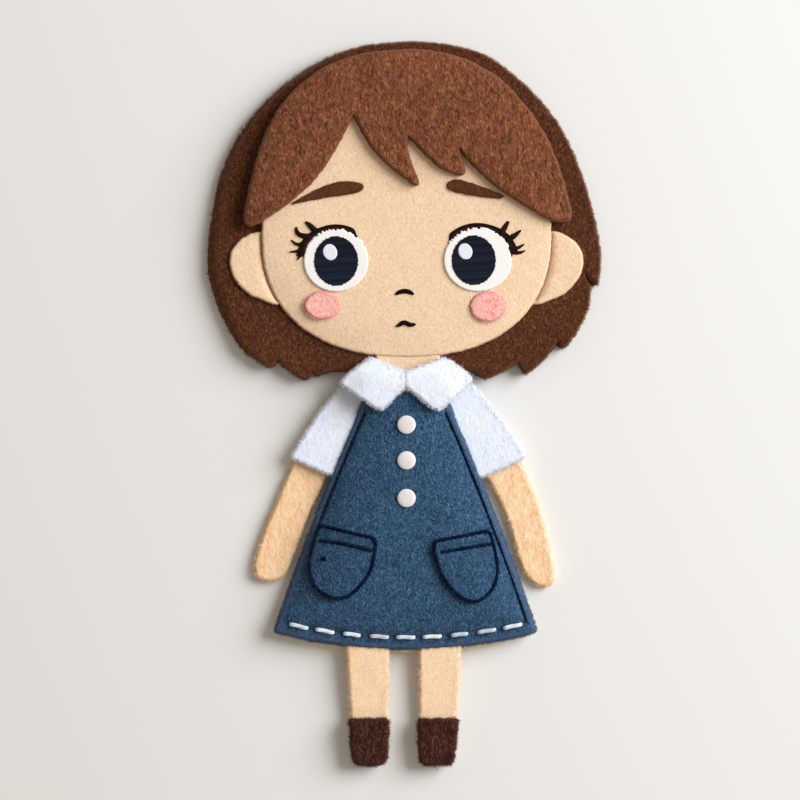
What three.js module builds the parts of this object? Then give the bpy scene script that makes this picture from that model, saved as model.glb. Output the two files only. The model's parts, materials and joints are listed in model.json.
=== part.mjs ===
// A flat felt doll, lying on its back: face up (+Z), head towards +Y, sizes in millimetres.
// Cut felt pieces are stacked in layers, and the limbs fold where they leave the dress.
import * as THREE from 'three';

// Felt thicknesses and the clearances between layers
const BACK_FELT = 2.2;
const LIMB_FELT = 2.0;
const FACE_FELT = 2.2;
const FRINGE_FELT = 2.2;
const DRESS_FELT = 2.0;
const COLLAR_FELT = 1.8;
const SHOE_FELT = 2.0;
const POCKET_FELT = 0.8;
const APPLIQUE = 0.5;
const TORSO_PAD = 3.2;
const GLUE = 0.1;
const FOLD_GAP = 0.3;
const LARGEST_CORNER = 0.47;

// Threads
const HEM_THREAD_RADIUS = 0.42;
const SEAM_THREAD_RADIUS = 0.3;
const FACE_THREAD_RADIUS = 0.55;
const THREAD_SIDES = 6;

// Face disc, measured from the doll's centre line
const FACE_HALF_WIDTH = 36.1;
const FACE_MIDDLE_Y = 42;
const CHIN_DROP = 30;
const CROWN_RISE = 41;
const FACE_SQUARENESS = 2.3;
const FACE_POINTS = 56;
const HEAD_PAD_RADIUS = 25;
const HEAD_PAD_Y = 55;

// Eyes: the right one is wider and looks slightly inwards
const EYES = {
  left: { x: -17.6, y: 35.9, rx: 8.0, ry: 7.6, irisShift: 0.05, glintX: -1.5, side: -1 },
  right: { x: 17.75, y: 36.1, rx: 8.4, ry: 7.75, irisShift: -1.0, glintX: -2.1, side: 1 },
};

// Lashes: where each lash line begins and ends, and the root and tip of each lash, in degrees
const LASHES = {
  left: { inner: 131, outer: 3, single: [[57, 53], [45, 40.5], [26, 26], [13, 11.5]] },
  right: { inner: 140, outer: 9, single: [[56, 54.3], [43, 38], [26, 22], [16.5, 13]] },
};
const IRIS_RX = 5.55;
const IRIS_RY = 6.2;
const GLINT_RX = 1.8;
const GLINT_RY = 2.1;
const GLINT_RISE = 2.2;
const LASH_WIDTH = 1.4;
const LASH_LENGTH = 4.4;
const LASH_ROOT_HALF_ANGLE = 4;
const LASH_STEPS = 20;
const CHEEKS = {
  left: { x: -21, y: 24.9, rx: 4.4, ry: 3.5 },
  right: { x: 20.3, y: 24.5, rx: 4.45, ry: 3.7 },
};

// Dress: an A-line panel about its own centre line
const DRESS_X = -0.2;
const DRESS_TOP_Y = 6.5;
const DRESS_TOP_HALF = 8.2;
const DRESS_HEM_Y = -56.8;
const DRESS_HEM_HALF = 33;
const HEM_SAG = 4.2;
const NECKLINE_DROP = 1.7;
const SIDE_BOW = 0.9;
const BACK_INSET = 1.6;
const BACK_PEEK = 0.35;
const SEAM_INSET = 1.8;
const SEAM_TOP_Y = -2.5;
const SEAM_HEM_MARGIN = 3.3;
const LEFT_SEAM_END_Y = -28.4;
const PAD_INSET = 4.4;
const POCKET_Y = -40;
const PAD_TOP_Y = -4;
const PAD_BOTTOM_Y = -46;
const PAD_CORNER = 2;

// Running stitch along the hem
const STITCH_LENGTH = 4.4;
const STITCH_GAP = 2.2;
const STITCH_MARGIN = 4;
const STITCH_RISE = 3.0;
const PIERCE_CLEARANCE = 0.35;
const PIERCE_TURN = 0.3;

// Buttons down the front
const BUTTON_RADIUS = 2.3;
const BUTTON_HEIGHT = 1.4;
const BUTTON_RIM = 0.5;
const BUTTON_YS = { top: -4.9, middle: -13.8, bottom: -23.2 };

// Neck strip and its sewn-in end
const NECK_HALF_WIDTH = 9;
const NECK_TOP_Y = 18;
const NECK_FOLD_Y = 6.2;
const NECK_TAB_LENGTH = 9;
const NECK_TAB_HALF_WIDTH = 5.2;

// Limbs
const STRIP_CORNER = 1;
const TAB_CORNER = 0.5;
const LEG_CORNER = 1.2;
const LEG_WIDTH = 10.6;
const ANKLE_WIDTH = 8.6;
const LEG_LENGTH = 28.4;
const LEG_TAB_LENGTH = 12;
const LEGS = { left: { x: -9.5, lean: 0.3 }, right: { x: 8.6, lean: -1.1 } };
const SHOE_LENGTH = 12.4;
const SHOE_WIDTH = 10.4;
const SHOE_TOE_WIDTH = 8.8;
const SHOE_TOP_CORNER = 0.5;
const SHOE_TOE_CORNER = 2.2;
const TOE_CLEARANCE = 0.2;
const ARM_TAB_LENGTH = 11;
const SLEEVE_CORNER = 0.8;
const COLLAR_CORNER = 1.8;
const COLLAR_MEETING_CORNER = 0.4;
const SLEEVE_TUCK = 3.4;
const SLEEVE_TOP_Y = 4;

const SKIN = 0xefd1ae;
const ARM_SKIN = 0xf6d0a6;
const HAIR_DARK = 0x5c3321;
const HAIR_LIGHT = 0x7b4931;
const WHITE = 0xe6ecf6;
const DENIM = 0x33526e;
const NAVY = 0x141c2a;

// Heights of the layers
const middleZ = BACK_FELT + GLUE;
const faceZ = middleZ + LIMB_FELT + GLUE;
const onFaceZ = faceZ + FACE_FELT + GLUE;
const dressZ = middleZ + TORSO_PAD + GLUE;
const onDressZ = dressZ + DRESS_FELT + GLUE;
const onPocketZ = onDressZ + POCKET_FELT + GLUE;

// As many stitches as fit along the hem
const stitchRun = 2 * (DRESS_HEM_HALF - STITCH_MARGIN);
const stitchCount = Math.floor((stitchRun + STITCH_GAP) / (STITCH_LENGTH + STITCH_GAP));
const stitchPitch = (stitchRun - STITCH_LENGTH) / (stitchCount - 1);

const doll = new THREE.Group();

const felt = (color) => new THREE.MeshStandardMaterial({ color, roughness: 0.95, metalness: 0 });
const thread = (color) => new THREE.MeshStandardMaterial({ color, roughness: 0.7, metalness: 0 });

function place(name, geometry, material, parent = doll) {
  const mesh = new THREE.Mesh(geometry, material);
  mesh.name = name;
  parent.add(mesh);
  return mesh;
}

const vectors = (points) => points.map(([x, y]) => new THREE.Vector2(x, y));
const mirrored = (points) => points.map(([x, y]) => [-x, y]).reverse();

// Felt of one thickness, cut along a shape, with its underside at z
function cut(shape, thickness, z, curveSegments = 3) {
  const geometry = new THREE.ExtrudeGeometry(shape, { depth: thickness, bevelEnabled: false, curveSegments });
  return geometry.translate(0, 0, z);
}

// A closed outline made of smooth stretches that meet at corners
function smoothOutline(stretches) {
  const shape = new THREE.Shape();
  const [first] = stretches[0];
  shape.moveTo(first[0], first[1]);
  for (const stretch of stretches) {
    if (stretch.length === 2) {
      shape.lineTo(stretch[1][0], stretch[1][1]);
    } else {
      shape.splineThru(vectors(stretch.slice(1)));
    }
  }
  return shape;
}

// A polygon with rounded corners: one radius, or one for each corner
function roundedPolygon(corners, radii) {
  const shape = new THREE.Shape();
  const points = vectors(corners);
  points.forEach((corner, index) => {
    const before = points.at(index - 1);
    const after = points[(index + 1) % points.length];
    const radius = Array.isArray(radii) ? radii[index] : radii;
    const shorter = Math.min(corner.distanceTo(before), corner.distanceTo(after));
    const reach = Math.min(radius, shorter * LARGEST_CORNER);
    const start = corner.clone().add(before.clone().sub(corner).setLength(reach));
    const end = corner.clone().add(after.clone().sub(corner).setLength(reach));
    if (index === 0) {
      shape.moveTo(start.x, start.y);
    } else {
      shape.lineTo(start.x, start.y);
    }
    shape.quadraticCurveTo(corner.x, corner.y, end.x, end.y);
  });
  return shape;
}

function ellipse(x, y, rx, ry) {
  const shape = new THREE.Shape();
  shape.absellipse(x, y, rx, ry, 0, 2 * Math.PI);
  return shape;
}

// A round thread along a smooth path
function threadAlong(points, radius, steps) {
  const section = new THREE.Shape();
  section.absarc(0, 0, radius, 0, 2 * Math.PI);
  const extrudePath = new THREE.CatmullRomCurve3(points);
  return new THREE.ExtrudeGeometry(section, { steps, extrudePath, curveSegments: THREAD_SIDES / 2 });
}

const atHeight = (points, z) => points.map(([x, y]) => new THREE.Vector3(x, y, z));

// An open path that follows an outline at a distance inside it, with its two ends apart
function insidePath(outline, inset, ends) {
  const loop = outline.getSpacedPoints(40).slice(0, -1);
  const turn = THREE.ShapeUtils.area(loop) > 0 ? 1 : -1;
  const path = loop.map((point, index) => {
    const along = loop[(index + 1) % loop.length].clone().sub(loop.at(index - 1)).normalize();
    return [point.x - turn * along.y * inset, point.y + turn * along.x * inset];
  });
  return path.slice(ends, path.length - ends);
}

// Hair behind the head: round crown, one slit lock at the right, serrated lower edge
const HAIR_OUTLINE = [
  [[0.6, 90.75], [12.4, 89.6], [23.0, 85.3], [36.2, 72.6], [44.0, 56.5], [48.2, 39.2], [47.7, 30.2]],
  [[47.7, 30.2], [44.0, 34.0]],
  [[44.0, 34.0], [45.9, 29.4]],
  [[45.9, 29.4], [45.2, 24], [42.6, 18.5], [39.5, 14.3]],
  [[39.5, 14.3], [38.1, 16.8]],
  [[38.1, 16.8], [34.2, 11.4], [29.9, 7.8]],
  [[29.9, 7.8], [28.1, 11.1]],
  [[28.1, 11.1], [24.4, 8.6], [19.9, 6.7]],
  [[19.9, 6.7], [16.6, 8.6]],
  [[16.6, 8.6], [-18.4, 8.6]],
  [[-18.4, 8.6], [-22.5, 7.4]],
  [[-22.5, 7.4], [-23.6, 8.6]],
  [[-23.6, 8.6], [-25.2, 6.6], [-29.5, 9.0], [-32.2, 11.6]],
  [[-32.2, 11.6], [-34.1, 9.6], [-38, 12.2], [-41.2, 15.8], [-45.2, 25.8], [-47.6, 35],
    [-46.6, 48.2], [-43.9, 59.9], [-38.9, 69.8], [-30.9, 78.9], [-21.2, 85.7], [-11.2, 89.5], [0.6, 90.75]],
];

function addHair() {
  place('hair_back', cut(smoothOutline(HAIR_OUTLINE), BACK_FELT, 0), felt(HAIR_DARK));
  const pad = cut(ellipse(0, HEAD_PAD_Y, HEAD_PAD_RADIUS, HEAD_PAD_RADIUS), LIMB_FELT, middleZ, 24);
  place('head_pad', pad, felt(0xe9e4d8));
}

// Fringe: swept to both sides, with three notches and two hanging locks
const FRINGE_OUTLINE = [
  [[1.4, 88.9], [-11.4, 87.6], [-21.6, 83.6], [-29.6, 76.8], [-34.9, 68.2], [-37.9, 59], [-40.1, 49],
    [-40.2, 45.9], [-38.8, 44.6], [-35.6, 46]],
  [[-35.6, 46], [-29.6, 50.2], [-22.9, 56.2], [-18.1, 63], [-13.2, 72.6]],
  [[-13.2, 72.6], [-11.4, 69], [-8.1, 63.7], [-3.4, 59], [1.4, 55.3], [2.8, 54.6], [3.1, 55.6], [1.9, 58.6],
    [0.4, 63], [0.1, 67.4]],
  [[0.1, 67.4], [3.9, 63.5], [7.9, 59.7], [11.9, 57.6], [14.0, 57.3], [14.6, 58.9], [13.5, 62], [13.0, 64.4]],
  [[13.0, 64.4], [15.4, 61.2], [20.6, 56.2], [25.4, 52.4], [32.1, 48.2], [36.1, 46.1], [38.9, 45.7],
    [41.2, 46.6], [40.4, 51], [38.1, 59], [34.1, 68.2], [28.6, 75.8], [22.1, 82.3], [12, 87.2], [1.4, 88.9]],
];

function addFringe() {
  place('fringe', cut(smoothOutline(FRINGE_OUTLINE), FRINGE_FELT, onFaceZ), felt(HAIR_LIGHT));
}

// Ears: rounded lobes whose inner part lies under the face
const EAR_LOOP = [[30, 42], [36.5, 43.4], [41.2, 41.5], [43.6, 38.6], [44.1, 35.6], [43.2, 32.2],
  [40.2, 28.4], [36.8, 26.6], [31, 25.4], [28.5, 34], [30, 42]];

function addEars() {
  const right = smoothOutline([EAR_LOOP]);
  const left = smoothOutline([mirrored(EAR_LOOP)]);
  place('ear_right', cut(right, LIMB_FELT, middleZ), felt(SKIN));
  place('ear_left', cut(left, LIMB_FELT, middleZ), felt(SKIN));
}

// The face's rim: a superellipse that drops to the chin and rises to the crown
function facePoint(angle) {
  const power = 2 / FACE_SQUARENESS;
  const across = Math.cos(angle);
  const up = Math.sin(angle);
  const reach = up > 0 ? CROWN_RISE : CHIN_DROP;
  const x = FACE_HALF_WIDTH * Math.sign(across) * Math.abs(across) ** power;
  const y = FACE_MIDDLE_Y + reach * Math.sign(up) * Math.abs(up) ** power;
  return new THREE.Vector2(x, y);
}

// Embroidered strokes
const NOSE = [[-2.4, 27.5], [-1.5, 28.3], [-0.5, 28.6], [0.6, 28.3], [1.5, 27.5]];
const MOUTH = [[-2.1, 19.5], [-1.3, 20.4], [-0.4, 20.8], [0.4, 20.2], [1.1, 19.7], [2, 20.3]];

function addFace() {
  const rim = [];
  for (let step = 0; step < FACE_POINTS; step += 1) {
    rim.push(facePoint((2 * Math.PI * step) / FACE_POINTS));
  }
  place('face', cut(new THREE.Shape(rim), FACE_FELT, faceZ), felt(SKIN));
  const threadZ = onFaceZ + FACE_THREAD_RADIUS;
  const nose = atHeight(NOSE, threadZ);
  place('nose_stitch', threadAlong(nose, FACE_THREAD_RADIUS, 8), thread(0x241410));
  const mouth = atHeight(MOUTH, threadZ);
  place('mouth_stitch', threadAlong(mouth, FACE_THREAD_RADIUS, 10), thread(0x241410));
}

// Lash line: a band above the white of the eye that carries single pointed lashes
function lashShape(eye, lashes) {
  const rim = (degrees, offset) => {
    const angle = THREE.MathUtils.degToRad(degrees);
    const rx = eye.rx + offset;
    const ry = eye.ry + offset;
    return new THREE.Vector2(eye.x + eye.side * rx * Math.cos(angle), eye.y + ry * Math.sin(angle));
  };
  const points = [];
  for (let step = 0; step <= LASH_STEPS; step += 1) {
    points.push(rim(THREE.MathUtils.lerp(lashes.inner, lashes.outer, step / LASH_STEPS), GLUE));
  }
  const outerBand = [rim(lashes.outer - 2, LASH_WIDTH / 2)];
  for (const [root, tip] of [...lashes.single].reverse()) {
    outerBand.push(rim(root - LASH_ROOT_HALF_ANGLE, LASH_WIDTH));
    outerBand.push(rim(tip, LASH_LENGTH));
    outerBand.push(rim(root + LASH_ROOT_HALF_ANGLE, LASH_WIDTH));
  }
  for (const angle of [70, 90, 110]) {
    outerBand.push(rim(angle, LASH_WIDTH));
  }
  outerBand.push(rim(lashes.inner, LASH_WIDTH / 2));
  return new THREE.Shape([...points, ...outerBand]);
}

const BROWS = {
  left: [[-28.8, 50.1], [-22.4, 53.6], [-16.6, 55.6], [-11.6, 55.3], [-10.8, 54.3], [-12.2, 53.1],
    [-20.9, 51.7], [-28.8, 50.1]],
  right: [[24.4, 52.0], [19, 54.3], [12.8, 56.2], [10.5, 55.5], [10.4, 54], [12.5, 53.1],
    [21.8, 51.6], [24.4, 52.0]],
};

function addEyes() {
  for (const [side, eye] of Object.entries(EYES)) {
    const irisX = eye.x + eye.irisShift;
    const irisZ = onFaceZ + APPLIQUE + GLUE;
    const glintZ = irisZ + APPLIQUE + GLUE;
    const white = ellipse(eye.x, eye.y, eye.rx, eye.ry);
    const iris = ellipse(irisX, eye.y, IRIS_RX, IRIS_RY);
    const glint = ellipse(irisX + eye.glintX, eye.y + GLINT_RISE, GLINT_RX, GLINT_RY);
    place(`eye_white_${side}`, cut(white, APPLIQUE, onFaceZ, 16), thread(0xf2f0ea));
    place(`iris_${side}`, cut(iris, APPLIQUE, irisZ, 14), thread(0x222836));
    place(`eye_glint_${side}`, cut(glint, APPLIQUE, glintZ, 8), thread(0xf4f4f2));
    place(`eyelash_${side}`, cut(lashShape(eye, LASHES[side]), APPLIQUE, onFaceZ), thread(0x2a1712));
    place(`eyebrow_${side}`, cut(smoothOutline([BROWS[side]]), APPLIQUE, onFaceZ), felt(0x55301c));
    const cheek = CHEEKS[side];
    const oval = ellipse(cheek.x, cheek.y, cheek.rx, cheek.ry);
    place(`cheek_${side}`, cut(oval, APPLIQUE, onFaceZ, 10), felt(0xf8bcae));
  }
}

// A strip across the doll between two heights
function strip(x, halfWidth, top, bottom) {
  const left = x - halfWidth;
  const right = x + halfWidth;
  return roundedPolygon([[left, top], [right, top], [right, bottom], [left, bottom]], STRIP_CORNER);
}

function addNeck() {
  const neck = strip(0.5, NECK_HALF_WIDTH, NECK_TOP_Y, NECK_FOLD_Y);
  place('neck', cut(neck, LIMB_FELT, middleZ), felt(SKIN));
  const tabTop = NECK_FOLD_Y - FOLD_GAP;
  const tab = strip(DRESS_X, NECK_TAB_HALF_WIDTH, tabTop, tabTop - NECK_TAB_LENGTH);
  place('neck_tab', cut(tab, LIMB_FELT, middleZ), felt(SKIN));
}

// Half width of the dress at a height: a straight flare with a slight bow
function dressHalfWidth(y) {
  const share = (DRESS_TOP_Y - y) / (DRESS_TOP_Y - DRESS_HEM_Y);
  return THREE.MathUtils.lerp(DRESS_TOP_HALF, DRESS_HEM_HALF, share) + SIDE_BOW * Math.sin(Math.PI * share);
}

// Height of the hem's curve at a distance from the dress's centre line
const hemY = (fromMiddle) => DRESS_HEM_Y - HEM_SAG * (1 - (fromMiddle / DRESS_HEM_HALF) ** 2);

// The dress outline, with its sides moved in and its hem moved down
function dressShape(inset, peek) {
  const levels = [0, 0.25, 0.5, 0.75, 1];
  const topY = DRESS_TOP_Y - inset;
  const sideY = levels.map((level) => THREE.MathUtils.lerp(topY, DRESS_HEM_Y, level));
  const side = sideY.map((y) => [dressHalfWidth(y) - inset, y]);
  const lowHem = [0.7, 0.25, -0.25, -0.7].map((share) => {
    const fromMiddle = share * (DRESS_HEM_HALF - inset);
    return [fromMiddle, hemY(fromMiddle) - peek];
  });
  const otherSide = mirrored(side);
  const hem = [side.at(-1), ...lowHem, otherSide[0]];
  const neckline = [otherSide.at(-1), [0, topY - NECKLINE_DROP], side[0]];
  const moved = (points) => points.map(([x, y]) => [x + DRESS_X, y]);
  return smoothOutline([side, hem, otherSide, neckline].map(moved));
}

// The points where the running stitch comes up and goes down
function stitchEnds() {
  const ends = [];
  for (let stitch = 0; stitch < stitchCount; stitch += 1) {
    const middle = (stitch - (stitchCount - 1) / 2) * stitchPitch;
    for (const x of [middle - STITCH_LENGTH / 2, middle + STITCH_LENGTH / 2]) {
      ends.push([x + DRESS_X, hemY(x) + STITCH_RISE]);
    }
  }
  return ends;
}

// One white thread that goes through the pierced holes, over the dress and under it by turns
function hemThread() {
  const over = onDressZ + HEM_THREAD_RADIUS;
  const under = dressZ - GLUE - HEM_THREAD_RADIUS;
  const path = [];
  const ends = stitchEnds();
  ends.forEach(([x, y], index) => {
    const inwards = index % 2 === 0 ? 1 : -1;
    const top = new THREE.Vector3(x + inwards * HEM_THREAD_RADIUS, y, over);
    const bottom = new THREE.Vector3(x - inwards * HEM_THREAD_RADIUS / 2, y, under);
    const low = new THREE.Vector3(x, y, dressZ + DRESS_FELT * 0.3);
    const high = new THREE.Vector3(x, y, dressZ + DRESS_FELT * 0.75);
    path.push(...(inwards > 0 ? [bottom, low, high, top] : [top, high, low, bottom]));
  });
  return threadAlong(path, HEM_THREAD_RADIUS, stitchCount * 16);
}

// Pocket outlines: each point is a distance in from the pocket's outer edge, and a height
const POCKETS = {
  left: {
    side: -1,
    fromSeam: 1.0,
    edge: [[[2.9, -29.8], [16.2, -32.9]], [[16.2, -32.9], [17, -34], [16.6, -38], [15.3, -42.2], [11.3, -47],
      [7.1, -48.4], [2.3, -46.2], [0, -41.4], [0.5, -36.6], [2.1, -31.2], [2.9, -29.8]]],
    welt: [[3.7, -33.9], [9.5, -34.7], [14.9, -36]],
  },
  right: {
    side: 1,
    fromSeam: 2.1,
    edge: [[[2.6, -31.2], [15.6, -33.7]], [[15.6, -33.7], [16.3, -34.8], [15.6, -38.8], [13.6, -43.6],
      [9.8, -47.8], [5.6, -49.2], [1.8, -46.6], [0, -42], [0.6, -37], [1.8, -32.2], [2.6, -31.2]]],
    welt: [[13.4, -36.5], [8, -35.6], [2.8, -34.8]],
  },
};

function addPockets() {
  for (const [side, pocket] of Object.entries(POCKETS)) {
    const outerEdge = dressHalfWidth(POCKET_Y) - SEAM_INSET - pocket.fromSeam;
    const onDress = (points) => points.map(
      ([inwards, y]) => [DRESS_X + pocket.side * (outerEdge - inwards), y]);
    const outline = smoothOutline(pocket.edge.map(onDress));
    place(`pocket_${side}`, cut(outline, POCKET_FELT, onDressZ, 2), felt(0x2d4a62));
    const threadZ = onPocketZ + SEAM_THREAD_RADIUS;
    const edge = insidePath(outline, 2 * SEAM_THREAD_RADIUS, 1);
    const welt = onDress(pocket.welt);
    place(`pocket_edge_${side}`, threadAlong(atHeight(edge, threadZ), SEAM_THREAD_RADIUS, 48), thread(NAVY));
    place(`pocket_welt_${side}`, threadAlong(atHeight(welt, threadZ), SEAM_THREAD_RADIUS, 8), thread(NAVY));
  }
}

// The dark seams run beside the dress's edges: the left one stops at its pocket
const SEAM_ENDS = {
  left: { bottom: LEFT_SEAM_END_Y, side: -1 },
  right: { bottom: DRESS_HEM_Y + SEAM_HEM_MARGIN, side: 1 },
};

function addSeams() {
  for (const [name, seam] of Object.entries(SEAM_ENDS)) {
    const points = [0, 0.25, 0.5, 0.75, 1].map((share) => {
      const y = THREE.MathUtils.lerp(SEAM_TOP_Y, seam.bottom, share);
      return [DRESS_X + seam.side * (dressHalfWidth(y) - SEAM_INSET), y];
    });
    const path = atHeight(points, onDressZ + SEAM_THREAD_RADIUS);
    place(`side_seam_${name}`, threadAlong(path, SEAM_THREAD_RADIUS, 16), thread(NAVY));
  }
}

// A domed button: flat below, with a rounded rim
function addButtons() {
  const profile = new THREE.Path();
  profile.moveTo(0, 0);
  profile.lineTo(BUTTON_RADIUS - BUTTON_RIM / 2, 0);
  profile.quadraticCurveTo(BUTTON_RADIUS, 0, BUTTON_RADIUS, BUTTON_RIM);
  profile.quadraticCurveTo(BUTTON_RADIUS * 0.85, BUTTON_HEIGHT, 0, BUTTON_HEIGHT);
  for (const [name, y] of Object.entries(BUTTON_YS)) {
    const geometry = new THREE.LatheGeometry(profile.getPoints(4), 24);
    geometry.rotateX(Math.PI / 2).translate(0, y, onDressZ);
    place(`button_${name}`, geometry, thread(0xe8e4de));
  }
}

function addDress() {
  place('dress_back', cut(dressShape(BACK_INSET, BACK_PEEK), BACK_FELT, 0), felt(0xe4dccb));
  const padHalf = (y) => dressHalfWidth(y) - PAD_INSET;
  const padCorners = [PAD_TOP_Y, PAD_BOTTOM_Y].map((y) => [DRESS_X + padHalf(y), y]);
  const otherCorners = [PAD_BOTTOM_Y, PAD_TOP_Y].map((y) => [DRESS_X - padHalf(y), y]);
  const pad = roundedPolygon([...padCorners, ...otherCorners], PAD_CORNER);
  place('torso_pad', cut(pad, TORSO_PAD, middleZ), felt(0xe9e4d8));
  const front = dressShape(0, 0);
  for (const [x, y] of stitchEnds()) {
    const hole = new THREE.Path();
    hole.absarc(x, y, HEM_THREAD_RADIUS + PIERCE_CLEARANCE, PIERCE_TURN, PIERCE_TURN + 2 * Math.PI);
    front.holes.push(hole);
  }
  place('dress_front', cut(front, DRESS_FELT, dressZ, 5), felt(DENIM));
  place('hem_thread', hemThread(), thread(0xf3f3f0));
  addPockets();
  addSeams();
  addButtons();
}

const COLLARS = {
  left: [[-9.1, 12.0], [-16.9, 5.6], [-6.3, -1.5], [-0.45, 4.6], [-0.45, 8.3]],
  right: [[9.7, 12.0], [17.0, 6.4], [7.8, -1.8], [-0.15, 4.6], [-0.15, 8.3]],
};

function addCollar() {
  for (const [side, corners] of Object.entries(COLLARS)) {
    const radii = corners.map((_, index) => (index < 3 ? COLLAR_CORNER : COLLAR_MEETING_CORNER));
    place(`collar_${side}`, cut(roundedPolygon(corners, radii), COLLAR_FELT, onDressZ), felt(WHITE));
  }
}

// Arms: a sleeve over a felt strip that folds at the sleeve's hem
const ARMS = {
  left: {
    side: -1,
    sleeve: [[-16.4, 4.8], [-22, -2.2], [-29, -13.1], [-19.1, -17.6]],
    hem: [[-28.3, -14.6], [-19.7, -18.2]],
    outer: [[-28.3, -14.6], [-30.9, -21.2], [-33.6, -27.5], [-36.1, -33.8], [-37.6, -38.8],
      [-37.7, -42], [-36.6, -43.6], [-34.1, -44], [-31.4, -43.2], [-29.9, -41.2], [-28.4, -37.5],
      [-26.6, -32.5], [-24.4, -26.8], [-22.3, -22.6], [-19.7, -18.2]],
  },
  right: {
    side: 1,
    sleeve: [[16.3, 5.4], [23.6, -3], [30, -13.1], [18.9, -18.2]],
    hem: [[28.4, -14.4], [20.2, -18.4]],
    outer: [[28.4, -14.4], [30.8, -19.4], [32.6, -24.5], [34.6, -31.2], [36.3, -38.8], [36.9, -43.2],
      [36.2, -44.8], [34.4, -45.4], [31.6, -44.2], [29.6, -41.6], [28.4, -38.8], [27.4, -35],
      [25.6, -29.2], [23.2, -23.2], [20.2, -18.4]],
  },
};

function addArms() {
  for (const [side, arm] of Object.entries(ARMS)) {
    const tucked = (y) => [DRESS_X + arm.side * (dressHalfWidth(y) - SLEEVE_TUCK), y];
    const sleeve = [...arm.sleeve, tucked(arm.sleeve.at(-1)[1]), tucked(SLEEVE_TOP_Y)];
    place(`sleeve_${side}`, cut(roundedPolygon(sleeve, SLEEVE_CORNER), LIMB_FELT, middleZ), felt(WHITE));
    const [outerHem, innerHem] = vectors(arm.hem);
    const strip = [arm.outer, [arm.outer.at(-1), arm.outer[0]]];
    place(`arm_${side}`, cut(smoothOutline(strip), BACK_FELT, 0), felt(ARM_SKIN));
    const along = innerHem.clone().sub(outerHem).normalize();
    const towardsShoulder = new THREE.Vector2(along.y * arm.side, -along.x * arm.side);
    const tab = [outerHem, innerHem].flatMap((corner) => {
      const near = corner.clone().addScaledVector(towardsShoulder, FOLD_GAP);
      const far = corner.clone().addScaledVector(towardsShoulder, ARM_TAB_LENGTH);
      return [[near.x, near.y], [far.x, far.y]];
    });
    const [outerNear, outerFar, innerNear, innerFar] = tab;
    const tabShape = roundedPolygon([outerNear, outerFar, innerFar, innerNear], TAB_CORNER);
    place(`arm_tab_${side}`, cut(tabShape, BACK_FELT, 0), felt(ARM_SKIN));
  }
}

// Legs: a strip sewn in under the dress, which droops to the table from the hem, with a shoe over its end
function addLegs() {
  const foldZ = middleZ + LIMB_FELT;
  const droop = Math.asin((middleZ - TOE_CLEARANCE) / LEG_LENGTH);
  for (const [side, { x, lean }] of Object.entries(LEGS)) {
    const inner = Math.abs(x) - LEG_WIDTH / 2;
    const foldY = hemY(inner) - BACK_PEEK - FOLD_GAP;
    const tab = strip(x, LEG_WIDTH / 2, foldY + FOLD_GAP + LEG_TAB_LENGTH, foldY + FOLD_GAP);
    place(`leg_tab_${side}`, cut(tab, LIMB_FELT, middleZ), felt(SKIN));
    const fold = new THREE.Group();
    fold.position.set(x, foldY, foldZ);
    fold.rotation.x = droop;
    doll.add(fold);
    const leanAt = (y) => (lean * -y) / LEG_LENGTH;
    const row = (width, y) => [[leanAt(y) - width / 2, y], [leanAt(y) + width / 2, y]];
    const outline = (top, bottom) => [top[0], bottom[0], bottom[1], top[1]];
    const leg = outline(row(LEG_WIDTH, 0), row(ANKLE_WIDTH, FOLD_GAP - LEG_LENGTH));
    place(`leg_${side}`, cut(roundedPolygon(leg, LEG_CORNER), LIMB_FELT, -LIMB_FELT), felt(SKIN), fold);
    const shoeCorners = outline(row(SHOE_WIDTH, SHOE_LENGTH - LEG_LENGTH), row(SHOE_TOE_WIDTH, -LEG_LENGTH));
    const shoeRadii = [SHOE_TOP_CORNER, SHOE_TOE_CORNER, SHOE_TOE_CORNER, SHOE_TOP_CORNER];
    const shoe = roundedPolygon(shoeCorners, shoeRadii);
    place(`shoe_${side}`, cut(shoe, SHOE_FELT, FOLD_GAP), felt(0x45261a), fold);
  }
}

addHair();
addEars();
addFace();
addEyes();
addFringe();
addNeck();
addDress();
addCollar();
addArms();
addLegs();

// The origin is below the middle of the doll
const middle = new THREE.Box3().setFromObject(doll).getCenter(new THREE.Vector3());
doll.position.set(-middle.x, -middle.y, 0);
doll.updateMatrixWorld(true);

export default doll;
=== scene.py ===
import json
import math

import bpy
import numpy as np
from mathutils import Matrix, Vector
from mathutils.geometry import delaunay_2d_cdt

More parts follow.
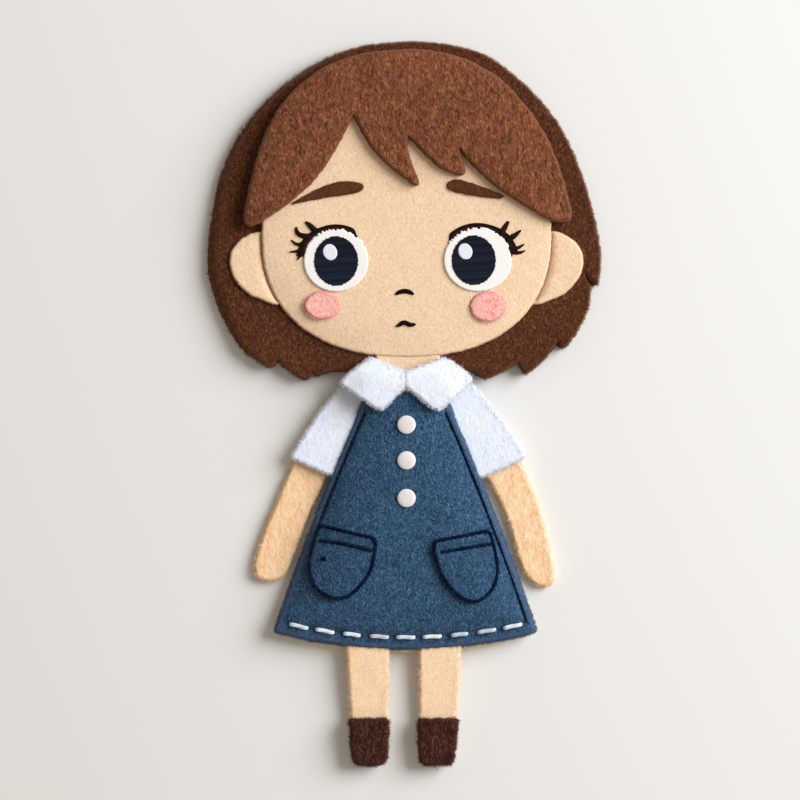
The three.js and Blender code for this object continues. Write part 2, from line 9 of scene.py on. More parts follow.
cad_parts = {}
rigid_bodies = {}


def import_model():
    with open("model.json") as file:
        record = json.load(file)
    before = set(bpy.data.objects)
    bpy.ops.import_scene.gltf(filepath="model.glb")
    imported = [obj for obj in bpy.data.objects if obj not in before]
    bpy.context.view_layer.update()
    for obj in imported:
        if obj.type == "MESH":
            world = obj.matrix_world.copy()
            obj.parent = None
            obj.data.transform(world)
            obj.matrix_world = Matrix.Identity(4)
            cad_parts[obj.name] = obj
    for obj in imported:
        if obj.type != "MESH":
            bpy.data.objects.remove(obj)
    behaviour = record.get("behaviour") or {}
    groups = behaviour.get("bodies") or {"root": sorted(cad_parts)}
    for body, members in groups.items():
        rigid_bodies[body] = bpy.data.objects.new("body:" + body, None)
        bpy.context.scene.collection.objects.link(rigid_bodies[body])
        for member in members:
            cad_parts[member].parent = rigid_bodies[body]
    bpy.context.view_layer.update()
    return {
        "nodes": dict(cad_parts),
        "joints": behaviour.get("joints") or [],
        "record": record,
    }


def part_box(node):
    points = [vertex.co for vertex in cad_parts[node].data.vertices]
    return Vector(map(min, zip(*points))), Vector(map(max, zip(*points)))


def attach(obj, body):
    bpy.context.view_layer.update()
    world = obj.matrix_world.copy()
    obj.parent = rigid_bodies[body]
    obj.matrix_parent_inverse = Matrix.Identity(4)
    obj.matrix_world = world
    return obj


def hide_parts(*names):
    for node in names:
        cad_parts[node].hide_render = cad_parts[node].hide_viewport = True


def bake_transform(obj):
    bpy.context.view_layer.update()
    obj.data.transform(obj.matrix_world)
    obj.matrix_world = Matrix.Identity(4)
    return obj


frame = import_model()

# Lengths are worked out in millimetres and handed to Blender in metres
MM = 0.001
SEED = 7
SIDES = ("left", "right")

# How finely the felt is meshed
EDGE_STEP = 0.45
FIELD_STEP = 1.5
EDGE_ROWS = (0.14, 0.34, 0.62, 1.0)
GROOVE_ROWS = (-0.7, -0.35, 0.0, 0.35, 0.7)
GROOVE_STEP = 0.4
GROOVE_CLEARANCE = 1.1

# How far the stuffed head and dress fall away towards their edges
HEAD_FALL = 2.5
HEAD_FLAT = 0.6
DRESS_FALL = 2.8
DRESS_FALL_WIDTH = 14.0
# The dress sides between sleeve and hem, where nothing passes under them, fall further
FREE_FALL = 1.3
FREE_MIDDLE = -38.0
FREE_HALF_LENGTH = 18.0

# Hair, ears and neck
HAIR_THICKNESS = 4.2
HAIR_LEAN = 2.1
# The share of that lean at the tips of the hair's teeth, and how far above them it is full
TEETH_LEAN = 0.15
TEETH_REACH = 16.0
EAR_LIFT = 1.0
NECK_LIFT = 0.8

# Felt
FIBRE_SLANT = 0.6
FELT_CROWN = 0.5
FELT_FOOT = 0.35
EDGE_BULGE = 0.09
EDGE_WAVE = 0.07
FIELD_WAVE = 0.05
FELT_FLARE = 0.4
# How strong the painted shade is at the foot of a felt's side away from the light
FELT_PAINTED_SHADE = 0.65
LEAN_WAY = np.array([-0.98, -0.2])
LEAST_LEAN = 0.1
WAIST_LEAN = 0.6
# The narrowest rectangle that a piece is cut from, in metres
LEAST_BLANK = 0.01
# How far on each side of their fold the outlines of a limb and of the neck are left out, before the two runs
# are joined
FOLD_TRIM = 1.5

# Hollows that threads press into the felt
GROOVE_HALF_WIDTH = 0.5
# How far in from a cut edge they reach full depth, and the share of it that they keep there
GROOVE_FADE = 1.2
GROOVE_LEAST = 0.2
EAR_GROOVE = 1.3
DRESS_GROOVE = 0.28
POCKET_GROOVE = 0.3
DIMPLE_DEPTH = 0.9
DIMPLE_WIDTH = 0.65

# Loose fibres: how near a cut edge they stand closer together, how far down a face may look and still
# carry them, where the side away from the light starts, and how they curl and droop
FUZZ_RIM = 0.35
FUZZ_UNDERSIDE = -0.4
FUZZ_SHADE = -0.05
FUZZ_CURL = 1.1
FUZZ_DROOP = 0.8

# Backing, collar, buttons, legs and shoes
BACKING_MARGIN = 0.5
# Collar wings reach towards each other, hang down beside the dress and bend down at the neck
COLLAR_TOUCH = 0.3
COLLAR_TOUCH_WIDTH = 1.5
COLLAR_DROOP = 1.3
COLLAR_DROOP_WIDTH = 4.5
COLLAR_BEND = 2.0
# A button's height and that of its side, and the rings of its foot as shares of its radius and heights
BUTTON_RISE = 0.75
BUTTON_SIDE = 0.3
BUTTON_FOOT = ((0.86, -0.15), (0.97, 0.12))
BUTTON_RINGS = 9
BUTTON_ROUNDING = 0.8
BUTTON_CORNERS = 40
BUTTON_COLOUR = (232, 228, 226)
# How far each leg's left and right sides are moved, at the hem and at the toe
LEG_SIDES = {"left": ((-0.5, 0.3), (0.0, -0.3)), "right": ((0.1, 0.1), (0.5, -0.4))}
SHOE_GAP = 0.06
SHOE_LENGTH = 0.94
SHOE_WIDTHS = {"left": 0.95, "right": 0.97}

# Threads
FIT_POINTS = 40
PLIES = 3
PLY_SIDES = 6
PLY_OFFSET = 0.48
PLY_GIRTH = 0.6
THREAD_STEP = 0.14
STITCH_SWAY = 0.06
STITCH_RISE = 0.12
SEAM_STITCH = 1.5
# Each seam's stitch length to its spacing, its thread's radius, and how deep its ends go
SEAM_THREAD = (1.02, 0.29, 0.4)
POCKET_THREAD = (1.12, 0.44, 0.3)
SEAM_SINK = 0.1
POCKET_SINK = 0.08
KNOT_PLACE = (-21.0, -38.7)
KNOT_RADIUS = 0.3
KNOT_RISE = 0.04
HEM_THREAD = 0.52
HEM_RISE = 0.3
HEM_DIVE = 0.7
FACE_THREAD = 0.58
FACE_TAPER = 0.55
FLAT_HEIGHT = 0.55
# Satin rows: their spacing, how far their ends stray, the threads' radius and arch, and how deep they sink
BROW_SATIN = (0.3, 0.35, 0.1, 0.06, 0.1)
IRIS_SATIN = (0.4, 0.12, 0.2, 0.04, 0.14)
# The angles of those rows to the X axis, in degrees
BROW_SLANTS = {"left": 62, "right": 118}
IRIS_SLANT = 4

# The width of an eye's stitches, and how far its glint leans
EYE_STITCH = 0.3
GLINT_TILT = 0.35
# Eye layers: their finish and their height above the face
EYE_LAYERS = {
    "eye_white": ("eye_white_thread", 0.45),
    "iris": ("iris_thread", 0.52),
    "eye_glint": ("glint_thread", 0.68),
}
# The lash bands' ends in degrees from the outer corner, and the tones of their threads and lashes; the light
# third and fourth threads of each band are a painted sheen along its middle
LASH_BANDS = {"left": (8, 130), "right": (10, 146)}
LASH_TONES_AND_SHEEN = (0.1, 0.2, 0.9, 0.5, 0.1, 0.0, 0.3, 0.2, 0.2, 0.2, 0.2)
LASH_THREAD = 0.27
LASH_SPACING = 0.3
# The band's reach out from the white's edge, and the heights of the band and of its lashes above the face
LASH_BAND_START = -0.2
LASH_BAND_WIDTH = 1.7
LASH_BAND_RISE = 0.08
LASH_RISE = 0.12
# Each lash: how far out and up from the eye's middle, and half its width
LASHES = {
    "left": (
        ((5.2, 7.6, 0.8), (6.5, 8.9, 0.62), (7.6, 9.8, 0.26)),
        ((6.6, 6.0, 0.8), (8.8, 6.5, 0.6), (9.7, 7.3, 0.5), (9.9, 8.5, 0.26)),
        ((7.8, 4.3, 0.7), (9.7, 4.2, 0.4), (11.2, 5.3, 0.14)),
        ((8.0, 2.7, 0.7), (10.1, 2.4, 0.34), (11.6, 2.3, 0.12)),
        ((8.2, 2.6, 0.6), (9.0, 1.3, 0.36), (9.6, 0.2, 0.12)),
    ),
    "right": (
        ((5.7, 6.2, 0.75), (6.8, 8.2, 0.62), (7.7, 9.7, 0.36)),
        ((6.9, 4.8, 0.7), (9.0, 6.0, 0.68), (10.8, 7.5, 0.2)),
        ((7.5, 2.8, 0.6), (10.0, 3.1, 0.42), (11.6, 4.0, 0.2)),
        ((7.6, 2.2, 0.6), (10.3, 1.9, 0.42), (11.9, 2.4, 0.14)),
        ((7.6, 2.4, 0.5), (8.2, 1.6, 0.34), (8.6, 0.9, 0.12)),
    ),
}

# Stage, in metres
CAMERA_HEIGHT = 1.2
VIEW_WIDTH = 0.2
VIEW_MIDDLE = (-0.00199, 0.00092, 0.004)
FLOOR_REACH = 3.0
FLOOR_Z = -0.0002
FLOOR_COLOUR = (233, 232, 230)
KEY_PLACE = (0.97, 0.42, 0.72)
KEY_POWER = 23.3
KEY_SIZE = 1.0
KEY_COLOUR = (0.935, 0.968, 1.0)
SKY_COLOUR = (1.0, 0.89, 0.76, 1.0)
SKY_STRENGTH = 0.36

random_source = np.random.default_rng(SEED)


# Colours

def linear(red, green, blue):
    """A screen colour, 0 to 255, as linear light with alpha."""
    values = [channel / 255 for channel in (red, green, blue)]
    light = [v / 12.92 if v <= 0.04045 else ((v + 0.055) / 1.055) ** 2.4 for v in values]
    return (*light, 1.0)


def shade(colour, factor):
    """A linear colour made lighter or darker."""
    return (*[min(1.0, channel * factor) for channel in colour[:3]], 1.0)


# Node trees whose sums are written as expressions

class Socket:
    """An output of a node, which can be calculated with."""

    def __init__(self, tree, socket):
        self.tree = tree
        self.socket = socket

    def beside(self, output):
        """Another output of the same node."""
        return Socket(self.tree, self.socket.node.outputs[output])

    def math(self, operation, other, swapped=False):
        first, second = (other, self) if swapped else (self, other)
        return self.tree.add("ShaderNodeMath", {0: first, 1: second}, operation=operation)

    def __add__(self, other):
        return self.math("ADD", other)

    def __sub__(self, other):
        return self.math("SUBTRACT", other)

    def __rsub__(self, other):
        return self.math("SUBTRACT", other, swapped=True)

    def __mul__(self, other):
        return self.math("MULTIPLY", other)

    def __truediv__(self, other):
        return self.math("DIVIDE", other)

    def __rtruediv__(self, other):
        return self.math("DIVIDE", other, swapped=True)

    def __gt__(self, other):
        return self.math("GREATER_THAN", other)

    def __lt__(self, other):
        return self.math("LESS_THAN", other)

    __radd__ = __add__
    __rmul__ = __mul__


class Tree:
    """A node tree whose nodes are added one by one."""

    def __init__(self, tree):
        self.nodes = tree.nodes
        self.links = tree.links

    def add(self, kind, inputs=None, output=0, **settings):
        """Adds a node with its settings and inputs and returns one output."""
        node = self.nodes.new(kind)
        for key, value in settings.items():
            setattr(node, key, value)
        for key, value in (inputs or {}).items():
            self.join(node.inputs[key], value)
        return Socket(self, node.outputs[output])

    def join(self, target, value):
        if isinstance(value, Socket):
            self.links.new(value.socket, target)
        else:
            target.default_value = value


class Finish(Tree):
    """A material."""

    def __init__(self, name):
        self.material = bpy.data.materials.new(name)
        self.material.use_nodes = True
        super().__init__(self.material.node_tree)

    def set(self, **values):
        """Sets the shader's own sockets: Base_Color stands for Base Color."""
        for key, value in values.items():
            self.join(self.nodes["Principled BSDF"].inputs[key.replace("_", " ")], value)

    def place(self, length=1.0, turn=0.0):
        """Object coordinates, turned and then drawn out along Y."""
        here = self.add("ShaderNodeTexCoord", output="Object")
        inputs = {"Vector": here, "Scale": (1.0, length, 1.0), "Rotation": (0.0, 0.0, turn)}
        return self.add("ShaderNodeMapping", inputs, vector_type="TEXTURE")

    def own(self, attribute):
        """A number that the mesh itself carries."""
        settings = {"attribute_type": "GEOMETRY", "attribute_name": attribute}
        return self.add("ShaderNodeAttribute", output="Fac", **settings)

    def noise(self, where, scale, detail=3.0, roughness=0.6, distortion=0.0):
        inputs = {"Vector": where, "Scale": scale, "Detail": detail, "Roughness": roughness}
        return self.add("ShaderNodeTexNoise", {**inputs, "Distortion": distortion})

    def spread(self, value, low, high):
        """A value mapped from low..high to 0..1, held at both ends."""
        inputs = {"Value": value, "From Min": low, "From Max": high}
        return self.add("ShaderNodeMapRange", inputs, interpolation_type="SMOOTHSTEP")

    def mix(self, factor, first, second):
        return self.add("ShaderNodeMix", {0: factor, 6: first, 7: second}, 2, data_type="RGBA")

    def bump(self, height, strength, distance):
        return self.add("ShaderNodeBump", {"Height": height, "Strength": strength, "Distance": distance})


def felt_finish(name, tones, scale, length, reach, lift):
    """Pressed felt: matted fibres that cross at a slant, with dark pits, pale fibres, a rim tint that is
    partly painted light, and painted shade at the foot of its side away from the light, where it meets what
    it lies on."""
    ground, pit, pale, rim = (linear(*tone) for tone in tones)
    finish = Finish(name)
    every_way = finish.place()
    straight = finish.noise(finish.place(length), scale, 4.0, 0.55, 1.2)
    slanting = finish.noise(finish.place(length, FIBRE_SLANT), 1.3 * scale, 4.0, 0.55, 1.2)
    matted = finish.spread(straight, 0.3, 0.7) * 0.55 + finish.spread(slanting, 0.3, 0.7) * 0.45
    clouds = finish.spread(finish.noise(finish.place(1.5), 330, 4.0, 0.6), 0.3, 0.7)
    shaded = finish.mix(finish.spread(matted, 0.1, 0.5), pit, ground)
    matt = finish.mix(finish.spread(matted, 0.5, 0.9), shaded, pale)
    clouded = finish.mix(clouds * 0.22, matt, pit)
    edge = finish.own("edge")
    # The rim tint: partly the cut edge's own colour, partly painted highlight and painted shade along the
    # edge
    cut = finish.mix(finish.spread(matted, 0.2, 0.8), shade(rim, 0.7), rim)
    rimmed = finish.mix(finish.spread(edge + finish.noise(every_way, 900) * 0.4, 0.2, reach), cut, clouded)
    # Painted shade: where the edge values are negative, at the foot and waist of the side away from the
    # light, the colour goes to a dark pit tone
    free_of_painted_shade = finish.spread(edge + finish.noise(every_way, 1500) * 0.3, -0.6, 0.2)
    height = matted + finish.noise(every_way, 5200, 2.0) * 0.3
    finish.set(Base_Color=finish.mix(free_of_painted_shade, shade(pit, 0.3), rimmed), Roughness=0.96)
    finish.set(Normal=finish.bump(height, lift, 0.0003))
    finish.set(Sheen_Weight=0.08, Sheen_Roughness=0.6, Specular_IOR_Level=0.08)
    return finish.material


def fibre_finish(name, dark, light):
    """Loose fibres between two tones."""
    finish = Finish(name)
    finish.set(Base_Color=finish.mix(finish.own("tone"), dark, light), Roughness=0.9)
    finish.set(Sheen_Weight=0.05, Specular_IOR_Level=0.1)
    return finish.material


def thread_finish(name, colour, roughness, dark, light, shine):
    """Cotton thread: a soft gloss with fine fibres."""
    finish = Finish(name)
    fibres = finish.noise(finish.place(), 5200, 2.0, 0.5)
    tone = finish.spread(fibres * 0.7 + finish.own("tone") * 0.6, 0.3, 0.95)
    colours = finish.mix(tone, shade(colour, dark), shade(colour, light))
    finish.set(Base_Color=colours, Roughness=roughness, Normal=finish.bump(fibres, 0.35, 0.0002))
    finish.set(Sheen_Weight=0.4 * shine, Specular_IOR_Level=shine)
    return finish.material


def button_finish(name, colour):
    """Satin cream plastic with faint clouds."""
    finish = Finish(name)
    clouds = finish.noise(finish.place(), 900, 3.0)
    tone = finish.mix(finish.spread(clouds, 0.35, 0.65), shade(colour, 0.94), colour)
    finish.set(Base_Color=tone, Roughness=clouds * 0.12 + 0.36)
    finish.set(Specular_IOR_Level=0.4)
    return finish.material


# Each felt's colour, pits, pale fibres and rim tint, its fibres to a metre, their length to width, how many
# millimetres in from the edge its tint reaches, and how rough it is. The rim tint is partly the cut edge's
# own
# colour and partly painted light: lighter rims are a painted highlight of edges and fibres catching the
# light, and the darker rims of skin and cheek are painted shade along their edges.
FELTS = {
    "hair_dark": (((82, 43, 24), (38, 17, 9), (132, 80, 51), (148, 101, 66)), 2700, 2.4, 0.4, 0.35),
    "hair_light": (((120, 69, 43), (74, 38, 21), (164, 108, 74), (132, 78, 50)), 1500, 2.8, 0.9, 0.35),
    "skin": (((245, 212, 177), (231, 193, 156), (252, 228, 199), (242, 206, 168)), 2100, 2.0, 0.6, 0.3),
    "limb_skin": (
        ((254, 215, 172), (240, 186, 142), (255, 234, 202), (255, 232, 198)), 1600, 4.5, 0.9, 0.25),
    "leg_skin": (
        ((254, 221, 182), (247, 207, 166), (255, 234, 204), (255, 234, 204)), 1900, 2.4, 0.9, 0.16),
    "white_felt": (
        ((237, 243, 255), (222, 230, 251), (248, 250, 255), (242, 246, 255)), 1500, 5.0, 0.9, 0.22),
    "dress_blue": (((43, 77, 110), (16, 36, 61), (95, 128, 157), (92, 112, 148)), 3000, 2.6, 2.0, 0.35),
    "pocket_blue": (((41, 74, 106), (15, 34, 58), (90, 122, 150), (60, 88, 120)), 3000, 2.6, 0.9, 0.35),
    "backing": (((248, 226, 196), (222, 196, 162), (255, 242, 220), (255, 238, 212)), 1700, 1.6, 0.9, 0.35),
    "wadding": (((232, 228, 218), (214, 210, 200), (240, 238, 230), (232, 228, 218)), 1700, 1.6, 0.9, 0.35),
    "shoe_felt": (((57, 26, 16), (31, 12, 7), (110, 72, 56), (104, 44, 29)), 1700, 3.6, 0.9, 0.35),
    "brow": (((86, 46, 25), (54, 26, 13), (116, 74, 43), (90, 50, 28)), 2000, 2.0, 0.9, 0.35),
    "cheek": (((255, 190, 179), (244, 134, 127), (255, 222, 212), (244, 150, 140)), 1500, 1.3, 0.9, 0.35),
}

# Each thread's colour and roughness, the shares of that colour in its dark and light fibres, and its shine
THREADS = {
    "eye_white_thread": ((252, 249, 245), 0.6, 0.95, 1.0, 0.25),
    "glint_thread": ((238, 240, 247), 0.6, 0.94, 1.05, 0.25),
    "iris_thread": ((28, 34, 49), 0.6, 0.5, 1.55, 0.06),
    "lash_thread": ((40, 21, 14), 0.6, 0.5, 1.8, 0.05),
    "mouth_thread": ((26, 13, 10), 0.6, 0.72, 1.15, 0.05),
    "navy_thread": ((11, 26, 50), 0.75, 0.6, 1.5, 0.03),
    "white_thread": ((214, 224, 236), 0.8, 0.72, 1.15, 0.04),
}


def make_finishes():
    finishes = {}
    for felt_name, (tones, *texture) in FELTS.items():
        finishes[felt_name] = felt_finish(f"{felt_name}_felt", tones, *texture)
        ground, pale = linear(*tones[0]), linear(*tones[2])
        finishes[f"{felt_name}_fibre"] = fibre_finish(f"{felt_name}_fibres", ground, pale)
    for thread_name, (colour, *texture) in THREADS.items():
        finishes[thread_name] = thread_finish(thread_name, linear(*colour), *texture)
    finishes["button"] = button_finish("cream_plastic", linear(*BUTTON_COLOUR))
    return finishes


FINISHES = make_finishes()


# Outlines from the frame

def node_points(node):
    mesh = frame["nodes"][node].data
    return np.array([vertex.co for vertex in mesh.vertices]) / MM


def box_mm(node):
    low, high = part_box(node)
    return np.array(low) / MM, np.array(high) / MM


def top_of(node):
    """The height of a CAD node's upper face, in millimetres."""
    return box_mm(node)[1][2]


def outline(node):
    """The outer edge of a CAD node's upper face, in millimetres, counterclockwise."""
    points = node_points(node)
    following = {}
    for face in frame["nodes"][node].data.polygons:
        if face.normal.z > 0.9:
            corners = [tuple(np.round(points[index], 3)) for index in face.vertices]
            following.update({pair: True for pair in zip(corners, corners[1:] + corners[:1])})
    following = {first: second for first, second in following if (second, first) not in following}
    loops = []
    while following:
        loop = [next(iter(following))]
        while loop[-1] in following:
            loop.append(following.pop(loop[-1]))
        loops.append(np.array(loop[:-1])[:, :2])
    return max(loops, key=lambda loop: np.ptp(loop[:, 0]))


def way_along(line):
    """How far each point lies along a polyline."""
    return np.concatenate([[0], np.cumsum(np.linalg.norm(np.diff(line, axis=0), axis=1))])


def unit(vectors):
    """Directions of length one."""
    return vectors / np.maximum(np.linalg.norm(vectors, axis=1, keepdims=True), 1e-9)


def resample(points, step, closed=True):
    """Points at even steps along a polyline."""
    points = np.asarray(points, float)
    line = np.vstack([points, points[:1]]) if closed else points
    way = way_along(line)
    count = max(4, int(round(way[-1] / step)))
    at = np.linspace(0, way[-1], count, endpoint=not closed)
    return np.stack([np.interp(at, way, line[:, axis]) for axis in range(line.shape[1])], axis=1)


def normals(points):
    """Outward directions along a counterclockwise loop."""
    along = np.roll(points, -1, axis=0) - np.roll(points, 1, axis=0)
    return unit(np.stack([along[:, 1], -along[:, 0]], axis=1))


def soften(values, times):
    for _ in range(times):
        values = 0.5 * values + 0.25 * (np.roll(values, 1, axis=0) + np.roll(values, -1, axis=0))
    return values


def hand_cut(loop, wobble, softness, step):
    """A scissor-cut edge: even points, corners slightly soft, with a small seeded unevenness."""
    points = soften(resample(loop, step), softness)
    uneven = soften(random_source.normal(size=len(points)), 1)
    return points + normals(points) * (uneven * wobble)[:, None]


def inside(points, loop):
    """Which points lie inside a closed loop."""
    x, y = points[:, 0][:, None], points[:, 1][:, None]
    first, second = loop, np.roll(loop, -1, axis=0)
    rise = second[:, 1] - first[:, 1]
    rise = np.where(np.abs(rise) < 1e-9, 1e-9, rise)
    above = (first[:, 1] > y) != (second[:, 1] > y)
    crossing = x < (second[:, 0] - first[:, 0]) * (y - first[:, 1]) / rise + first[:, 0]
    return (above & crossing).sum(axis=1) % 2 == 1


def distance(points, line, closed=True):
    """Shortest distance from points to a polyline."""
    line = np.asarray(line, float)
    first = line if closed else line[:-1]
    span = (np.roll(line, -1, axis=0) if closed else line[1:]) - first
    square = np.maximum((span ** 2).sum(axis=1), 1e-12)
    best = np.empty(len(points))
    for part in range(0, len(points), 2000):
        offset = points[part:part + 2000, None, :] - first[None]
        share = np.clip((offset * span[None]).sum(axis=2) / square, 0, 1)
        gap = np.linalg.norm(offset - share[..., None] * span[None], axis=2)
        best[part:part + 2000] = gap.min(axis=1)
    return best


def smooth_line(points, count):
    """A curve through points."""
    points = np.asarray(points, float)
    padded = np.vstack([2 * points[0] - points[1], points, 2 * points[-1] - points[-2]])
    at = np.linspace(0, len(points) - 1, count)
    cell = np.minimum(at.astype(int), len(points) - 2)
    share = (at - cell)[:, None]
    before, first, second, after = (padded[cell + step] for step in range(4))
    bend = 2 * before - 5 * first + 4 * second - after
    twist = 3 * (first - second) + after - before
    return first + 0.5 * share * (second - before + share * (bend + share * twist))


def fitted_line(node, degree, axis=0):
    """A smooth line along the middle of a CAD thread that runs mostly along one axis."""
    points = node_points(node)
    along, across = points[:, axis], points[:, 1 - axis]
    place = np.linspace(along.min(), along.max(), FIT_POINTS)
    line = [place, np.polyval(np.polyfit(along, across, degree), place)]
    return np.column_stack([line[axis], line[1 - axis], np.full(FIT_POINTS, points[:, 2].min() + 0.1)])


# Pieces

def placed(name, data):
    """A new object in the scene."""
    piece = bpy.data.objects.new(name, data)
    bpy.context.scene.collection.objects.link(piece)
    return piece


def new_piece(name, vertices, faces, finish, **numbers):
    """A smooth mesh piece with one finish; numbers are kept for each point."""
    mesh = bpy.data.meshes.new(name)
    mesh.from_pydata((np.asarray(vertices) * MM).tolist(), [], faces)
    mesh.polygons.foreach_set("use_smooth", [True] * len(mesh.polygons))
    mesh.materials.append(FINISHES[finish])
    for key, values in numbers.items():
        attribute = mesh.attributes.new(key, "FLOAT", "POINT")
        attribute.data.foreach_set("value", np.asarray(values, np.float32))
    return placed(name, mesh)


def riding(body):
    """A way to hold a piece: fixed to one body."""
    return lambda piece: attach(piece, body)


def folding():
    """A way to hold a piece: its placing is baked into its mesh, and no body holds it."""
    return lambda piece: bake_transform(piece)


def settle(piece, hold, slot, *nodes):
    """The piece is held by its body and stands for CAD nodes, which are hidden. Its slot is not used."""
    hold(piece)
    if nodes:
        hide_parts(*nodes)


# Felt pieces

def field_points(loop, step, grooves):
    """Points inside a loop: rows beside the edge and the grooves, and a scattered field."""
    rows = [loop - normals(loop) * row for row in EDGE_ROWS]
    rows = [row[distance(row, loop) > 0.9 * depth] for row, depth in zip(rows, EDGE_ROWS)]
    for groove in grooves:
        line = resample(groove, GROOVE_STEP, closed=False)
        way = np.gradient(line, axis=0)
        across = unit(np.stack([-way[:, 1], way[:, 0]], axis=1))
        rows += [line + across * row for row in GROOVE_ROWS]
    low, high = loop.min(axis=0), loop.max(axis=0)
    columns, lines = np.meshgrid(np.arange(low[0], high[0], step), np.arange(low[1], high[1], step))
    field = np.stack([columns.ravel(), lines.ravel()], axis=1)
    field += random_source.uniform(-0.3, 0.3, field.shape) * step
    field = field[distance(field, loop) > EDGE_ROWS[-1] * 1.2]
    for groove in grooves:
        field = field[distance(field, groove, closed=False) > GROOVE_CLEARANCE]
    every = np.vstack(rows + [field])
    return every[inside(every, loop) & (distance(every, loop) > 0.08)]


def triangulate(loop, step, grooves):
    """Triangles over a loop: the points, the triangles, and each point's distance from the edge."""
    points = np.vstack([loop, field_points(loop, step, grooves)])
    count = len(loop)
    edges = [(index, (index + 1) % count) for index in range(count)]
    result = delaunay_2d_cdt([Vector(point) for point in points], edges, [], 0, 1e-7)
    flat = np.array([tuple(vertex) for vertex in result[0]])
    triangles = np.array(result[2])
    triangles = triangles[inside(flat[triangles].mean(axis=1), loop)]
    return flat, triangles, distance(flat, loop)


def rounded(depth, radius):
    """How far a rounded edge has dropped at a distance from the rim."""
    share = np.clip(1 - depth / radius, 0, 1)
    return radius * (1 - np.sqrt(np.maximum(0, 1 - share ** 2)))


def bell(away, width):
    """A soft bump: one in its middle, and almost nothing at twice its width."""
    return np.exp(-(away / width) ** 2)


def swell(flat, size):
    """A gentle seeded unevenness."""
    phase = random_source.uniform(0, 6, 4)
    waves = np.sin(flat[:, 0] * 0.31 + phase[0]) * np.sin(flat[:, 1] * 0.27 + phase[1])
    waves += 0.5 * np.sin(flat[:, 0] * 0.83 + phase[2]) * np.sin(flat[:, 1] * 0.71 + phase[3])
    return size * waves


def closed_skin(flat, triangles, top, bottom, depth, flare, crease):
    """Upper and lower skins joined by a side that leans out, most of all away from the light."""
    upper = triangles.tolist()
    uses = {edge for corners in upper for edge in zip(corners, corners[1:] + corners[:1])}
    rim, following = np.array(sorted(edge for edge in uses if edge[::-1] not in uses)).T
    place = np.searchsorted(rim, following)
    way = flat[following] - flat[rim]
    across = unit(np.stack([way[:, 1], -way[:, 0]], axis=1))
    bulge = unit(across + across[np.argsort(place)])
    away = np.clip(bulge @ LEAN_WAY, 0, 1)
    reach = flare(flat[rim])[:, None] if callable(flare) else flare
    lean = reach * (LEAST_LEAN * bulge + away[:, None] * LEAN_WAY)
    waist = flat[rim] + EDGE_BULGE * bulge + WAIST_LEAN * lean
    waist = np.column_stack([waist, 0.5 * (top + bottom)[rim]])
    under = flat.copy()
    under[rim] += lean
    vertices = np.vstack([np.column_stack([flat, top]), np.column_stack([under, bottom]), waist])
    count = len(flat)
    one, two = 2 * count + np.arange(len(rim)), 2 * count + place
    side = np.stack([following, rim, one, two, two, one, rim + count, following + count], axis=1)
    faces = upper + (triangles[:, ::-1] + count).tolist() + side.reshape(-1, 4).tolist()
    # On the side away from the light the foot and waist get negative edge values, which the finish paints as
    # shade
    below = depth.copy()
    below[rim] = -crease * away
    return vertices, faces, np.concatenate([depth, below, -0.5 * crease * away])


def felt(name, loop, base, thickness, finish, crown=FELT_CROWN, foot=FELT_FOOT, wobble=EDGE_WAVE,
         softness=2, wave=FIELD_WAVE, step=FIELD_STEP, grooves=(), groove_depth=0.0, relief=None,
         flare=FELT_FLARE, crease=FELT_PAINTED_SHADE, edge_step=EDGE_STEP):
    """A closed piece of felt cut along a loop. The height of its underside, base, and how far its side leans
    out, flare, are numbers or functions of the place. relief is a function that raises its upper face."""
    loop = hand_cut(np.asarray(loop, float), wobble, softness, edge_step)
    flat, triangles, depth = triangulate(loop, step, grooves)
    under = base(flat) if callable(base) else np.full(len(flat), float(base))
    top = under + thickness - rounded(depth, crown) + swell(flat, wave) * np.clip(depth / 2, 0, 1)
    for groove in grooves:
        away = distance(flat, groove, closed=False)
        top -= groove_depth * bell(away, GROOVE_HALF_WIDTH) * np.clip(depth / GROOVE_FADE, GROOVE_LEAST, 1)
    if relief is not None:
        top += relief(flat)
    bottom = under + rounded(depth, foot)
    vertices, faces, edge = closed_skin(flat, triangles, top, bottom, depth, flare, crease)
    return new_piece(name, vertices, faces, finish, edge=edge)


def turned(loop, angle):
    """A loop turned about its middle."""
    way = np.array([[math.cos(angle), math.sin(angle)], [-math.sin(angle), math.cos(angle)]])
    middle = loop.mean(axis=0)
    return middle + (loop - middle) @ way


def flat_size(loop):
    """Width and length of the rectangle of felt that a loop is cut from, and the loop's area, in metres."""
    best = None
    for angle in np.linspace(0, math.pi / 2, 46):
        sides = np.ptp(turned(loop, -angle), axis=0)
        if best is None or sides.prod() < best.prod():
            best = sides
    following = np.roll(loop, -1, axis=0)
    area = 0.5 * abs(np.sum(loop[:, 0] * following[:, 1] - loop[:, 1] * following[:, 0]))
    return tuple(max(LEAST_BLANK, float(side * MM)) for side in sorted(best)), float(area * MM * MM)


# Stuffing

def head_fall(flat):
    """How far the head has fallen at a place: flat in the middle, rounded towards the hair's edge."""
    low, high = box_mm("hair_back")
    away = (flat[:, :2] - (low + high)[:2] / 2) / ((high - low)[:2] / 2)
    return HEAD_FALL * np.clip((np.linalg.norm(away, axis=1) - HEAD_FLAT) / (1 - HEAD_FLAT), 0, 1) ** 2


def dress_edge():
    """The dress's sides and hem, below the collar."""
    loop = resample(outline("dress_front"), 1.0)
    return kept_run(loop, loop[:, 1] < box_mm("collar_left")[0][1] - 2)


